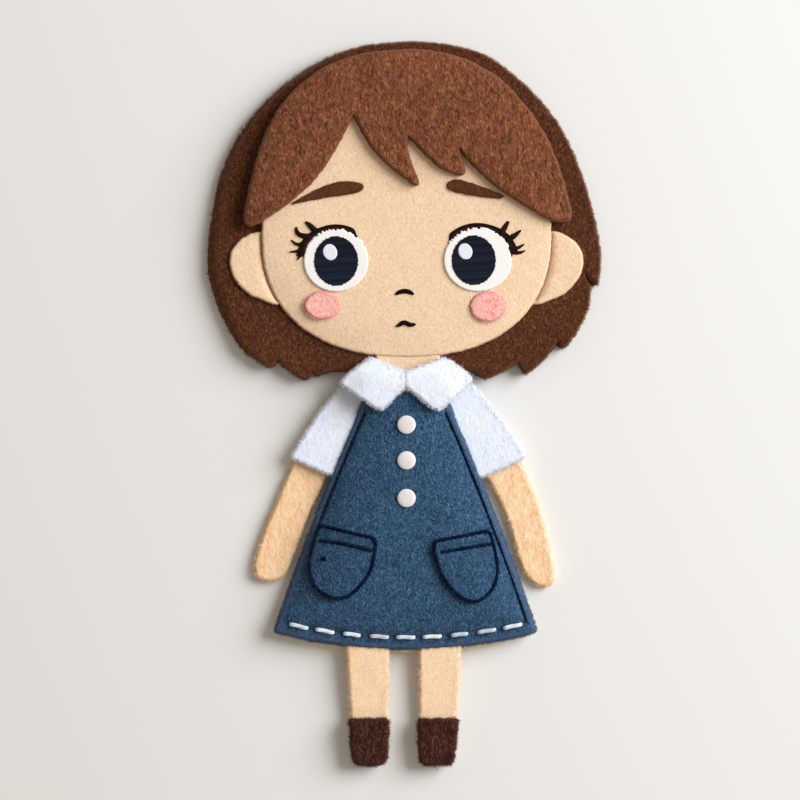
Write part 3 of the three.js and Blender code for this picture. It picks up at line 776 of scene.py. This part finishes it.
def dress_fall(flat):
    """How far the dress has fallen at a place, because its sides and hem are sewn down."""
    depth = distance(flat[:, :2], DRESS_EDGE, closed=False)
    free = np.exp(-((flat[:, 1] - FREE_MIDDLE) / FREE_HALF_LENGTH) ** 4)
    return (DRESS_FALL + FREE_FALL * free) * np.clip(1 - depth / DRESS_FALL_WIDTH, 0, 1) ** 2


def fallen(fall, height):
    """A height that falls away, as a function of the place."""
    return lambda flat: height - fall(flat)


def kept_run(loop, keep):
    """The kept points of a loop in order, from just after those left out."""
    start = next(index for index in range(len(loop)) if keep[index] and not keep[index - 1])
    order = [(start + step) % len(loop) for step in range(len(loop))]
    return loop[[index for index in order if keep[index]]]


DRESS_EDGE = dress_edge()


# Repeats grown by geometry nodes

class Recipe(Tree):
    """A geometry node group with named inputs."""

    def __init__(self, name, **inputs):
        self.group = bpy.data.node_groups.new(name, "GeometryNodeTree")
        super().__init__(self.group)
        self.identifiers = {}
        for label, kind in {"Geometry": "Geometry", **inputs, "Material": "Material"}.items():
            socket = self.group.interface.new_socket(label, in_out="INPUT", socket_type=f"NodeSocket{kind}")
            self.identifiers[label] = socket.identifier
        self.group.interface.new_socket("Geometry", in_out="OUTPUT", socket_type="NodeSocketGeometry")
        self.source = self.nodes.new("NodeGroupInput")
        self.result = self.nodes.new("NodeGroupOutput")

    def ask(self, label):
        return Socket(self, self.source.outputs[label])

    def given_lines(self):
        """The given mesh of lines as curves."""
        return self.add("GeometryNodeMeshToCurve", {"Mesh": self.ask("Geometry")})

    def part(self, field, axis):
        """One number of the normal or the position."""
        return self.add("ShaderNodeSeparateXYZ", {0: self.add(f"GeometryNodeInput{field}")}, axis)

    def vector(self, x=0.0, y=0.0, z=0.0):
        return self.add("ShaderNodeCombineXYZ", {0: x, 1: y, 2: z})

    def moved(self, geometry, offset):
        return self.add("GeometryNodeSetPosition", {"Geometry": geometry, "Offset": offset})

    def rotated(self, rotation, angles):
        """A rotation that turns on about its own axes."""
        inputs = {"Rotation": rotation, "Rotate By": self.add("FunctionNodeEulerToRotation", {0: angles})}
        return self.add("FunctionNodeRotateRotation", inputs, rotation_space="LOCAL")

    def chance(self, low, high, offset):
        """A seeded random number or vector."""
        kind, first, output = ("FLOAT_VECTOR", 0, 0) if isinstance(low, tuple) else ("FLOAT", 2, 1)
        inputs = {first: low, first + 1: high, "Seed": self.ask("Seed") + offset}
        return self.add("FunctionNodeRandomValue", inputs, output, data_type=kind)

    def toned(self, geometry, domain):
        """Each repeat keeps a tone of its own."""
        inputs = {"Geometry": geometry, "Name": "tone", "Value": self.chance(0.0, 1.0, 31)}
        return self.add("GeometryNodeStoreNamedAttribute", inputs, data_type="FLOAT", domain=domain)

    def planted(self, points, shape, rotation, scale):
        """A shape at every point."""
        inputs = {"Points": points, "Instance": shape, "Rotation": rotation, "Scale": scale}
        return self.complete(self.toned(self.add("GeometryNodeInstanceOnPoints", inputs), "INSTANCE"))

    def complete(self, geometry):
        """The recipe's result is real geometry with the given material."""
        real = self.add("GeometryNodeRealizeInstances", {"Geometry": geometry})
        painted = self.add("GeometryNodeSetMaterial", {"Geometry": real, "Material": self.ask("Material")})
        self.join(self.result.inputs[0], painted)
        return self

    def grow(self, name, mesh, finish, **values):
        """The recipe carried out on a mesh, as a piece of its own."""
        piece = placed(name, mesh)
        modifier = piece.modifiers.new("recipe", "NODES")
        modifier.node_group = self.group
        for label, value in {**values, "Material": FINISHES[finish]}.items():
            modifier[self.identifiers[label]] = value
        settled = piece.evaluated_get(bpy.context.evaluated_depsgraph_get())
        grown = bpy.data.meshes.new_from_object(settled)
        piece.modifiers.clear()
        piece.data = grown
        return piece


def fuzz_recipe():
    """Short curved fibres that stand off a surface, more of them near its cut edge."""
    numbers = dict.fromkeys(("Density", "Rim", "Length", "Width", "Lift", "Shade"), "Float")
    recipe = Recipe("felt_fuzz", **numbers, Seed="Int")
    edge = recipe.add("GeometryNodeInputNamedAttribute", {"Name": "edge"}, data_type="FLOAT")
    density = ((edge < FUZZ_RIM) * recipe.ask("Rim") + 1.0) * recipe.ask("Density")
    inputs = {"Mesh": recipe.ask("Geometry"), "Density": density, "Seed": recipe.ask("Seed")}
    inputs["Selection"] = recipe.part("Normal", 2) > FUZZ_UNDERSIDE
    scatter = recipe.add("GeometryNodeDistributePointsOnFaces", inputs)
    length = recipe.ask("Length")
    inputs = {"Size X": length, "Size Y": recipe.ask("Width"), "Vertices X": 3, "Vertices Y": 2}
    ribbon = recipe.add("GeometryNodeMeshGrid", inputs)
    share = recipe.part("Position", 0) / length
    bend = share * share * length
    bent = recipe.moved(ribbon, recipe.vector(y=bend * FUZZ_CURL, z=bend * -FUZZ_DROOP))
    stand = {"Vector": scatter.beside("Normal")}
    upright = recipe.add("FunctionNodeAlignRotationToVector", stand, axis="Z")
    angle = recipe.chance((-0.5, -1.0, 0.0), (0.5, 0.0, 2 * math.pi), 3)
    gain = recipe.vector(1.0, recipe.ask("Lift"), 1.0)
    tilt = recipe.add("ShaderNodeVectorMath", {0: angle, 1: gain}, operation="MULTIPLY")
    size = recipe.chance(0.5, 1.3, 11) * ((edge < FUZZ_SHADE) * recipe.ask("Shade") + 1.0)
    return recipe.planted(scatter, bent, recipe.rotated(upright, tilt), size)


def satin_recipe():
    """Threads laid side by side along given lines, each with its own tone."""
    recipe = Recipe("satin_rows", Radius="Float", Arch="Float", Seed="Int")
    fine = recipe.add("GeometryNodeResampleCurve", {"Curve": recipe.given_lines(), "Count": 7})
    along = recipe.add("GeometryNodeSplineParameter", output="Factor")
    rise = along * (1.0 - along) * 4.0 * recipe.ask("Arch")
    toned = recipe.toned(recipe.moved(fine, recipe.vector(z=rise)), "CURVE")
    inputs = {"Resolution": PLY_SIDES, "Radius": recipe.ask("Radius")}
    circle = recipe.add("GeometryNodeCurvePrimitiveCircle", inputs)
    inputs = {"Curve": toned, "Profile Curve": circle, "Fill Caps": True}
    return recipe.complete(recipe.add("GeometryNodeCurveToMesh", inputs))


def stitch_recipe():
    """One stitch repeated along a line at even steps."""
    recipe = Recipe("stitch_row", Stitch="Object", Spacing="Float", Seed="Int")
    inputs = {"Curve": recipe.given_lines(), "Length": recipe.ask("Spacing")}
    even = recipe.add("GeometryNodeResampleCurve", inputs, mode="LENGTH")
    way = recipe.add("GeometryNodeInputTangent")
    facing = recipe.add("FunctionNodeAlignRotationToVector", {"Vector": way}, axis="X", pivot_axis="Z")
    rotation = recipe.rotated(facing, recipe.vector(z=recipe.chance(-1.0, 1.0, 5) * STITCH_SWAY))
    shape = recipe.add("GeometryNodeObjectInfo", {"Object": recipe.ask("Stitch")}, "Geometry")
    return recipe.planted(even, shape, rotation, recipe.chance(0.92, 1.08, 9))


FUZZ = fuzz_recipe()
SATIN = satin_recipe()
STITCHES = stitch_recipe()


def line_mesh(name, lines):
    """A mesh of open lines."""
    vertices, edges = [], []
    for line in lines:
        start = len(vertices)
        vertices += (np.asarray(line, float) * MM).tolist()
        edges += [(start + step, start + step + 1) for step in range(len(line) - 1)]
    mesh = bpy.data.meshes.new(name)
    mesh.from_pydata(vertices, edges, [])
    return mesh


# For each felt: fibres a square millimetre and how many times more at a cut edge, their length and width in
# millimetres, how much they lift, and how much longer they are on the sides away from the light
FUZZES = {
    "hair_dark": (1.6, 14, 1.1, 0.06, 1.2, 0.5),
    "hair_light": (2.5, 6, 1.0, 0.07, 0.6, 0.0),
    "skin": (2, 5, 0.8, 0.05, 0.5, 0.0),
    "limb_skin": (3, 10, 1.2, 0.06, 1.2, 0.3),
    "leg_skin": (3, 10, 1.2, 0.06, 1.2, 0.3),
    "white_felt": (5, 7, 1.2, 0.06, 1.2, 0.0),
    "dress_blue": (3, 11, 1.2, 0.07, 1.1, 0.2),
    "pocket_blue": (3, 6, 0.7, 0.05, 0.7, 0.0),
    "backing": (2, 12, 1.0, 0.06, 1.0, 0.5),
    "shoe_felt": (5, 6, 1.6, 0.07, 0.9, 0.3),
    "brow": (10, 4, 0.7, 0.06, 0.5, 0.0),
    "cheek": (9, 4, 0.8, 0.06, 0.6, 0.0),
}
# Felts that share a record slot with another
FELT_SLOTS = {"leg_skin": "limb_skin", "pocket_blue": "dress_blue"}


def add_felt(nodes, slot, hold, loop=None, base=None, fall=None, lift=0.0, thickness=None, **options):
    """Felt with its fuzz, held by its body, for CAD nodes. Its outline, height and thickness are the first
    node's where they aren't given."""
    low, high = box_mm(nodes[0])
    name = f"{nodes[0]}_felt"
    loop = outline(nodes[0]) if loop is None else loop
    if base is None:
        base = fallen(fall, low[2]) if fall else low[2] + lift
    piece = felt(name, loop, base, thickness or high[2] - low[2], slot, **options)
    density, rim, length, width, rise, shaded = FUZZES[slot]
    values = {"Density": density / MM ** 2, "Rim": rim, "Length": length * MM, "Width": width * MM}
    values.update({"Lift": rise, "Shade": shaded, "Seed": SEED + len(bpy.data.objects)})
    fuzz = FUZZ.grow(f"{name}_fuzz", piece.data, f"{slot}_fibre", **values)
    for each, own in ((piece, nodes), (fuzz, ())):
        settle(each, hold, FELT_SLOTS.get(slot, slot), *own)
    flat, area = flat_size(loop)


# Threads

def rings(rows, count):
    """The numbers of the points on rings of a mesh, and of the points beside them."""
    points = np.arange(rows * count).reshape(rows, count)
    return points, np.roll(points, -1, axis=1)


def quads(*corners):
    """Faces whose four corners are given as arrays."""
    return np.stack(corners, axis=-1).reshape(-1, 4).tolist()


def tube(path, girth, side, up):
    """A round tube along a path: vertices and faces."""
    ring = np.arange(PLY_SIDES) * 2 * math.pi / PLY_SIDES
    around = side[:, None] * np.cos(ring)[None, :, None] + up[:, None] * np.sin(ring)[None, :, None]
    vertices = (path[:, None] + around * girth[:, None, None]).reshape(-1, 3).tolist()
    here, beside = rings(len(path), PLY_SIDES)
    faces = quads(here[:-1], here[1:], beside[1:], beside[:-1])
    return vertices, faces + [here[0].tolist(), here[-1, ::-1].tolist()]


def flat_thread(path, girth):
    """A tube along a path, pressed flat."""
    side, up = crosswise(path)
    return tube(path, girth, side, FLAT_HEIGHT * up)


def crosswise(path):
    """Sideways and upward directions along a path."""
    way = unit(np.gradient(path, axis=0))
    side = unit(np.cross(way, [0, 0, 1.0]))
    return side, np.cross(side, way)


def joined(parts):
    """Several sets of vertices and faces as one."""
    vertices, faces = [], []
    for more, corners in parts:
        faces += [[corner + len(vertices) for corner in face] for face in corners]
        vertices += more
    return vertices, faces


def plied(path, radius, twist=0.55, taper=0.3, height=1.0):
    """A thread of twisted plies along a path, height times as high as wide."""
    path = np.asarray(path, float)
    side, up = crosswise(path)
    up = up * height
    run = way_along(path)
    girth = radius * (1 - taper * np.abs(2 * run / run[-1] - 1) ** 6)
    plies = []
    for ply in range(PLIES):
        angle = 2 * math.pi * ply / PLIES + twist * run / radius
        across, high = ((wave(angle) * PLY_OFFSET * girth)[:, None] for wave in (np.cos, np.sin))
        plies.append(tube(path + (side * across + up * high), PLY_GIRTH * girth, side, up))
    return joined(plies)


def stitch_rise(share, height, dive):
    """A stitch from the side, by the share of its half length: it comes up, lies flat and goes down."""
    return height * (1 - np.abs(share) ** 5) - dive * np.abs(share) ** 9


def stitch_model(name, sizes):
    """A navy stitch to repeat, kept out of the scene."""
    overlap, radius, dive = sizes
    length = SEAM_STITCH * overlap
    share = np.linspace(-1, 1, max(9, int(length / THREAD_STEP)))
    arc = np.column_stack([share * length / 2, np.zeros_like(share), stitch_rise(share, STITCH_RISE, dive)])
    piece = new_piece(name, *plied(arc, radius), "navy_thread")
    bpy.context.scene.collection.objects.unlink(piece)
    return piece


def sew(node, line, height, model):
    """Stitches along a line on the fallen dress, for a CAD node."""
    name = f"{node}_stitches"
    path = np.column_stack([line[:, :2], height - dress_fall(line)])
    values = {"Stitch": model, "Spacing": SEAM_STITCH * MM, "Seed": SEED}
    row = STITCHES.grow(name, line_mesh(name, [path]), "navy_thread", **values)
    settle(row, riding("torso"), "navy_thread", node)


def slot_of(node):
    """A CAD node's slot in the record."""
    return next(entry["material_slot"] for entry in frame["record"]["subparts"] if entry["node"] == node)


# Head

def hair_lean(flat):
    """How far the hair's side leans out at a place: least at the teeth of its lower edge."""
    above = flat[:, 1] - box_mm("hair_back")[0][1]
    return HAIR_LEAN * np.clip(above / TEETH_REACH, TEETH_LEAN, 1)


def make_hair():
    hold = riding("head")
    # The hair's painted shade at the foot of its side away from the light is weaker than other felts'
    add_felt(["hair_back"], "hair_dark", hold, thickness=HAIR_THICKNESS, wobble=0.09, softness=0,
             crown=0.35, flare=hair_lean, crease=0.3)
    add_felt(["fringe"], "hair_light", hold, fall=head_fall, wobble=0.1, crown=0.6, flare=0.35)
    make_pad("head_pad", "head", 0.9, head_fall)


def make_pad(node, body, crown, fall):
    """Wadding between two felts."""
    low, high = box_mm(node)
    pad = felt(f"{node}_wadding", outline(node), low[2], high[2] - low[2], "wadding", crown=crown, foot=0.9,
               relief=fallen(fall, 0.0))
    settle(pad, riding(body), "wadding", node)


def make_face():
    hold, rim = riding("head"), resample(outline("face"), EDGE_STEP)
    for side in SIDES:
        add_felt([f"ear_{side}"], "skin", hold, lift=EAR_LIFT, grooves=[rim], groove_depth=EAR_GROOVE,
                 flare=0.1)
        add_felt([f"cheek_{side}"], "cheek", hold, crown=0.45, foot=0.1, wobble=0.09, step=0.8, flare=0.25)
    add_felt(["face"], "skin", hold, fall=head_fall, crown=0.5, wave=0.03, flare=0.1)
    for node, degree in (("nose_stitch", 2), ("mouth_stitch", 5)):
        line = fitted_line(node, degree)
        girth = FACE_THREAD * (1 - FACE_TAPER * np.abs(np.linspace(-1, 1, len(line))) ** 3)
        piece = new_piece(f"{node}_thread", *flat_thread(line, girth), "mouth_thread")
        settle(piece, hold, slot_of(node), node)


def rows_across(loop, spacing, degrees, z, stray):
    """Parallel lines that fill a loop, at an angle to the X axis."""
    angle = math.radians(degrees)
    way = np.array([math.cos(angle), math.sin(angle)])
    heights = loop @ np.array([-way[1], way[0]])
    later, corner = np.roll(heights, -1), np.roll(loop, -1, axis=0)
    lines = []
    for height in np.arange(heights.min() + spacing / 2, heights.max(), spacing):
        crossed = np.where((heights > height) != (later > height))[0]
        share = (height - heights[crossed]) / (later[crossed] - heights[crossed])
        ends = loop[crossed] + share[:, None] * (corner[crossed] - loop[crossed])
        ends = ends[np.argsort(ends @ way)]
        for first, last in zip(ends[::2], ends[1::2]):
            shift = random_source.uniform(-stray, stray, 2)
            lines.append([[*(first + way * shift[0]), z], [*(last + way * shift[1]), z]])
    return lines


def satin(node, degrees, top, sizes, finish, slot):
    """Satin stitches over a CAD node of the head."""
    name = f"{node}_satin"
    spacing, stray, radius, arch, sink = sizes
    lines = rows_across(outline(node), spacing, degrees, top - sink, stray)
    values = {"Radius": radius * MM, "Arch": arch * MM, "Seed": SEED}
    rows = SATIN.grow(name, line_mesh(name, lines), finish, **values)
    settle(rows, riding("head"), slot)


def make_brow(side):
    node = f"eyebrow_{side}"
    add_felt([node], "brow", riding("head"), crown=0.3, foot=0.1, wobble=0.1, wave=0.02, step=0.8,
             flare=0.15)
    satin(node, BROW_SLANTS[side], top_of(node), BROW_SATIN, "brow_fibre", "brow")


class Eye:
    """An eye's white, as the oval that its parts are placed around."""

    def __init__(self, side):
        self.low, self.high = box_mm(f"eye_white_{side}")
        self.sign = -1 if side == "left" else 1
        self.middle = (self.low + self.high)[:2] / 2
        self.radii = (self.high - self.low)[:2] / 2

    def at(self, outward, upward, rise):
        """Points by their distances from the eye's middle and above the face."""
        x, y = self.middle[0] + self.sign * outward, self.middle[1] + upward
        return np.column_stack([x, y, np.full(len(x), self.low[2] + rise)])

    def rim(self, degrees, reach, rise):
        """Points at angles from the eye's outer corner, reach millimetres outside the white."""
        angle = np.radians(degrees)
        across, high = self.radii[0] + reach, self.radii[1] + reach
        return self.at(across * np.cos(angle), high * np.sin(angle), rise)

    def upper(self, points):
        """How far points lie on the upper lid, 0 to 1."""
        away = (points - self.middle) / self.radii
        return np.clip(away[:, 1] * 2 - 0.5, 0, 1)


def make_eye(side):
    """Sewn layers, each a little above the one below."""
    hold, eye = riding("head"), Eye(side)
    for part, (finish, rise) in EYE_LAYERS.items():
        node = f"{part}_{side}"
        loop = resample(outline(node), EYE_STITCH)
        if part == "eye_glint":
            loop = turned(loop, GLINT_TILT)
        if part == "eye_white":
            uneven = random_source.uniform(-0.2, 0.65, len(loop))
            loop = loop + normals(loop) * (uneven * eye.upper(loop))[:, None]
        piece = felt(f"{node}_cloth", loop, eye.low[2], rise, finish, crown=0.15, foot=0.05, wobble=0.03,
                     softness=0, wave=0.0, step=0.9, flare=0.0, edge_step=EYE_STITCH)
        settle(piece, hold, slot_of(node), node)
    finish, rise = EYE_LAYERS["iris"]
    satin(f"iris_{side}", IRIS_SLANT, eye.low[2] + rise, IRIS_SATIN, finish, "iris")
    make_lashes(side, eye)


def make_lashes(side, eye):
    """A band of threads along the upper lid, and single lashes that curl away from it."""
    node = f"eyelash_{side}"
    outer, inner = LASH_BANDS[side]
    degrees = np.linspace(outer, inner, 48)
    # The band thins out at its inner end and is widest at its outer end
    full = np.clip((inner - degrees) / 12, 0.3, 1) * (1 + 0.25 * np.clip((70 - degrees) / 30, 0, 1))
    reaches = np.arange(0.0, LASH_BAND_WIDTH, LASH_SPACING)
    rows = [eye.rim(degrees, LASH_BAND_START + reach * full, LASH_BAND_RISE) for reach in reaches]
    threads = [flat_thread(row, LASH_THREAD * np.ones(len(row))) for row in rows]
    for line in LASHES[side]:
        outward, upward, girth = smooth_line(line, 24).T
        threads.append(flat_thread(eye.at(outward, upward, LASH_RISE), girth))
    # Each thread keeps its tone: the light middle threads of the band are a painted sheen
    tones = np.concatenate([np.full(len(thread[0]), tone) for thread, tone in zip(threads, LASH_TONES_AND_SHEEN)])
    piece = new_piece(f"{node}_thread", *joined(threads), "lash_thread", tone=tones)
    settle(piece, riding("head"), "lash_thread", node)


# Torso

def make_dress():
    hold = riding("torso")
    top = top_of("dress_front")
    stitches = hem_runs(top)
    seams = {side: fitted_line(f"side_seam_{side}", 3, axis=1) for side in SIDES}
    ends = np.array([point for line in stitches for point in (line[0], line[-1])])[:, :2]

    def dimples(flat):
        """The hem thread draws the felt down where it passes through."""
        away = np.linalg.norm(flat[:, None] - ends[None], axis=2).min(axis=1)
        return -DIMPLE_DEPTH * bell(away, DIMPLE_WIDTH)

    grooves = [line[:, :2] for line in (*seams.values(), *stitches)]
    add_felt(["dress_front"], "dress_blue", hold, fall=dress_fall, crown=0.8, softness=7, grooves=grooves,
             groove_depth=DRESS_GROOVE, relief=dimples, flare=0.15)
    loop = resample(outline("dress_back"), 1.0)
    # The backing gets only a little painted shade at the foot of its side away from the light
    add_felt(["dress_back"], "backing", hold, loop + normals(loop) * BACKING_MARGIN, flare=0.1, crease=0.1)
    make_pad("torso_pad", "torso", 1.4, dress_fall)
    seam_stitch = stitch_model("seam_stitch", SEAM_THREAD)
    pocket_stitch = stitch_model("pocket_stitch", POCKET_THREAD)
    for side, seam in seams.items():
        if side == "left":
            # This seam runs on a little towards the hem
            seam = np.vstack([seam[:1] - (seam[4:5] - seam[:1]) * 0.3, seam])
        sew(f"side_seam_{side}", seam, top - SEAM_SINK, seam_stitch)
        make_pocket(side, pocket_stitch)
    make_hem(stitches)


def hem_runs(top):
    """The visible runs of the CAD hem thread, each as a line."""
    points = node_points("hem_thread")
    points = points[points[:, 2] > top + 0.1]
    points = points[np.argsort(points[:, 0])]
    lines = []
    for run in np.split(points, np.where(np.diff(points[:, 0]) > 1.0)[0] + 1):
        slope, height = np.polyfit(run[:, 0], run[:, 1], 1)
        x = np.linspace(run[:, 0].min(), run[:, 0].max(), 7)
        lines.append(np.column_stack([x, slope * x + height, np.full(7, top)]))
    return lines


def make_hem(stitches):
    """White running stitches that sink into the dress at both ends."""
    share = np.linspace(-1, 1, 31)
    threads, tones = [], []
    for line in stitches:
        path = line[0] + (line[-1] - line[0]) * (share[:, None] + 1) / 2
        path[:, 2] += stitch_rise(share, HEM_RISE, HEM_DIVE) - dress_fall(path)
        threads.append(plied(path, HEM_THREAD, twist=0.25, taper=0.6, height=0.6))
        tones.append(np.full(len(threads[-1][0]), random_source.uniform(0.2, 1)))
    piece = new_piece("hem_stitches", *joined(threads), "white_thread", tone=np.concatenate(tones))
    settle(piece, riding("torso"), "white_thread", "hem_thread")


def make_pocket(side, stitch):
    node = f"pocket_{side}"
    edge = soften(resample(outline(node), 0.6), 2)
    edge = edge - normals(edge) * 0.2
    welt = fitted_line(f"pocket_welt_{side}", 2)
    add_felt([node], "pocket_blue", riding("torso"), fall=dress_fall, crown=0.5, foot=0.1,
             grooves=[welt[:, :2]], groove_depth=POCKET_GROOVE, step=1.2, flare=0.15)
    height = top_of(node) - POCKET_SINK
    sew(f"pocket_edge_{side}", np.vstack([edge, edge[:1]]), height, stitch)
    sew(f"pocket_welt_{side}", welt, height, stitch)


def make_knot():
    """The end of the sewing thread, tied off on the left pocket."""
    turns = np.linspace(0, 3 * math.pi, 30)
    path = np.column_stack([KNOT_RADIUS * np.cos(turns), KNOT_RADIUS * np.sin(turns), KNOT_RISE * turns])
    path += [*KNOT_PLACE, top_of("pocket_left") - dress_fall(np.array([KNOT_PLACE]))[0]]
    knot = new_piece("pocket_knot", *plied(path, KNOT_RADIUS, taper=0.2), "navy_thread")
    settle(knot, riding("torso"), "navy_thread")


def make_buttons():
    """Domed buttons with a soft rim."""
    turns = np.linspace(0, 2 * math.pi, BUTTON_CORNERS, endpoint=False)
    for name in ("top", "middle", "bottom"):
        low, high = box_mm(f"button_{name}")
        radius = (high - low)[0] / 2
        profile = [(share * radius, z) for share, z in BUTTON_FOOT]
        for angle in np.linspace(0, math.pi / 2, BUTTON_RINGS)[:-1]:
            rise = BUTTON_SIDE + (BUTTON_RISE - BUTTON_SIDE) * math.sin(angle)
            profile.append((radius * math.cos(angle) ** BUTTON_ROUNDING, rise))
        x, y = (low + high)[:2] / 2
        vertices = [
            [x + r * math.cos(t), y + r * math.sin(t), low[2] + z] for r, z in profile for t in turns
        ]
        vertices.append([x, y, low[2] + BUTTON_RISE])
        here, beside = rings(len(profile), BUTTON_CORNERS)
        faces = [here[0, ::-1].tolist()] + quads(here[:-1], beside[:-1], beside[1:], here[1:])
        faces += [[*pair, here.size] for pair in zip(here[-1].tolist(), beside[-1].tolist())]
        piece = new_piece(f"button_{name}_dome", vertices, faces, "button")
        settle(piece, riding("torso"), "button", f"button_{name}")


def make_collar():
    """Wings that lie on the dress, hang down beside it and bend down towards the neck."""
    start = box_mm("dress_front")[1][1] + 0.3
    dress = resample(outline("dress_front"), 1.0)
    for side in SIDES:
        node = f"collar_{side}"
        low, high = box_mm(node)

        def bent(flat, rest=low[2], reach=high[1] - start):
            share = np.clip((flat[:, 1] - start) / reach, 0, 1)
            beside = np.where(inside(flat, dress), 0, distance(flat, dress))
            hang = COLLAR_DROOP * (1 - bell(beside, COLLAR_DROOP_WIDTH))
            return rest - np.hypot(COLLAR_BEND * share * share * (3 - 2 * share), hang)

        loop = resample(outline(node), EDGE_STEP)
        meeting, way = (low[0], -1) if side == "right" else (high[0], 1)
        near = bell(loop[:, 0] - meeting, COLLAR_TOUCH_WIDTH)
        loop[:, 0] += near * way * COLLAR_TOUCH
        add_felt([node], "white_felt", riding("torso"), loop, bent, crown=0.6, wobble=0.09, softness=1)


# Limbs

def strip(joint, limb, tab):
    """A limb and its sewn-in end as one strip across the fold: its outline, its hold and the fold's place.
    """
    entry = next(item for item in frame["joints"] if item["name"] == joint)
    place, axis = np.array(entry["pos_m"]) / MM, np.array(entry["axis"])
    along = np.array([-axis[1], axis[0]])
    low, high = box_mm(limb)
    along = along * np.sign(along @ ((low + high) / 2 - place)[:2])
    runs = []
    for node, way in ((limb, along), (tab, -along)):
        loop = outline(node)
        runs.append(kept_run(loop, (loop - place[:2]) @ way > FOLD_TRIM))
    hold = folding()
    return np.vstack(runs), hold, place


def make_arms():
    for side in SIDES:
        add_felt([f"sleeve_{side}"], "white_felt", riding("torso"), crown=0.6, wobble=0.09)
        arm, tab = f"arm_{side}", f"arm_tab_{side}"
        loop, hold, _ = strip(f"{arm}_fold", arm, tab)
        add_felt([arm, tab], "limb_skin", hold, loop, crown=0.55, foot=0.2, flare=0.25)


def shaped_leg(loop, low, high, sides):
    """A leg's outline with its left and right sides moved, by amounts at the hem and at the toe."""
    share = np.clip((high[1] - loop[:, 1]) / (high[1] - low[1]), 0, 1)
    left, right = (np.interp(share, (0, 1), amounts) for amounts in sides)
    shaped = loop.copy()
    shaped[:, 0] += np.where(loop[:, 0] < (low[0] + high[0]) / 2, left, right)
    return shaped


def make_legs():
    for side in SIDES:
        leg, tab, shoe = f"leg_{side}", f"leg_tab_{side}", f"shoe_{side}"
        loop, hold, place = strip(f"{leg}_fold", leg, tab)
        low, high = box_mm(leg)
        rest, top = (corner[2] for corner in box_mm(tab))
        slope = (high[2] - low[2] - (top - rest)) / (high[1] - low[1])

        def drooping(flat, rest=rest, fold=place[1], slope=slope):
            """The leg bends softly at the hem and slopes down to its toe."""
            past = fold - flat[:, 1]
            return rest - slope * 0.5 * (past + np.sqrt(past ** 2 + 1))

        def on_leg(flat, top=top, fold=place[1], slope=slope):
            """The shoe lies on the sloping leg."""
            return top + SHOE_GAP - slope * (fold - flat[:, 1])

        loop = shaped_leg(loop, low, high, LEG_SIDES[side])
        add_felt([leg, tab], "leg_skin", hold, loop, drooping, thickness=top - rest, crown=0.55, foot=0.2,
                 flare=0.12)
        shoe_loop = outline(shoe)
        toe = np.array([np.mean(box_mm(shoe), axis=0)[0], shoe_loop[:, 1].min()])
        shoe_loop = toe + (shoe_loop - toe) * (SHOE_WIDTHS[side], SHOE_LENGTH)
        add_felt([shoe], "shoe_felt", riding(leg), shoe_loop, on_leg, thickness=top - rest, crown=0.6,
                 wobble=0.12, flare=0.15)


def make_neck():
    loop, hold, _ = strip("head_nod", "neck", "neck_tab")
    add_felt(["neck", "neck_tab"], "skin", hold, loop, lift=NECK_LIFT)


# Stage

def make_floor():
    finish = Finish("pale_table")
    finish.set(Base_Color=linear(*FLOOR_COLOUR), Roughness=0.85)
    mesh = bpy.data.meshes.new("floor")
    corners = [(-1, -1), (1, -1), (1, 1), (-1, 1)]
    mesh.from_pydata([(x * FLOOR_REACH, y * FLOOR_REACH, FLOOR_Z) for x, y in corners], [], [(0, 1, 2, 3)])
    mesh.materials.append(finish.material)
    floor = placed("floor", mesh)


def make_camera():
    data = bpy.data.cameras.new("camera")
    data.lens = data.sensor_width * CAMERA_HEIGHT / VIEW_WIDTH
    camera = placed("camera", data)
    x, y, z = VIEW_MIDDLE
    camera.location = (x, y, z + CAMERA_HEIGHT)
    bpy.context.scene.camera = camera


def make_light():
    data = bpy.data.lights.new("key", "AREA")
    data.energy, data.color = KEY_POWER, KEY_COLOUR
    data.shape, data.size = "DISK", KEY_SIZE
    key = placed("key", data)
    key.location = KEY_PLACE
    key.rotation_euler = (-key.location).to_track_quat("-Z", "Y").to_euler()
    world = bpy.data.worlds.new("studio")
    world.use_nodes = True
    background = world.node_tree.nodes["Background"]
    background.inputs["Color"].default_value = SKY_COLOUR
    background.inputs["Strength"].default_value = SKY_STRENGTH
    bpy.context.scene.world = world
    bpy.context.scene.view_settings.view_transform = "Standard"


make_hair()
make_face()
for eye_side in SIDES:
    make_brow(eye_side)
    make_eye(eye_side)
make_neck()
make_dress()
make_knot()
make_buttons()
make_collar()
make_arms()
make_legs()
make_floor()
make_camera()
make_light()
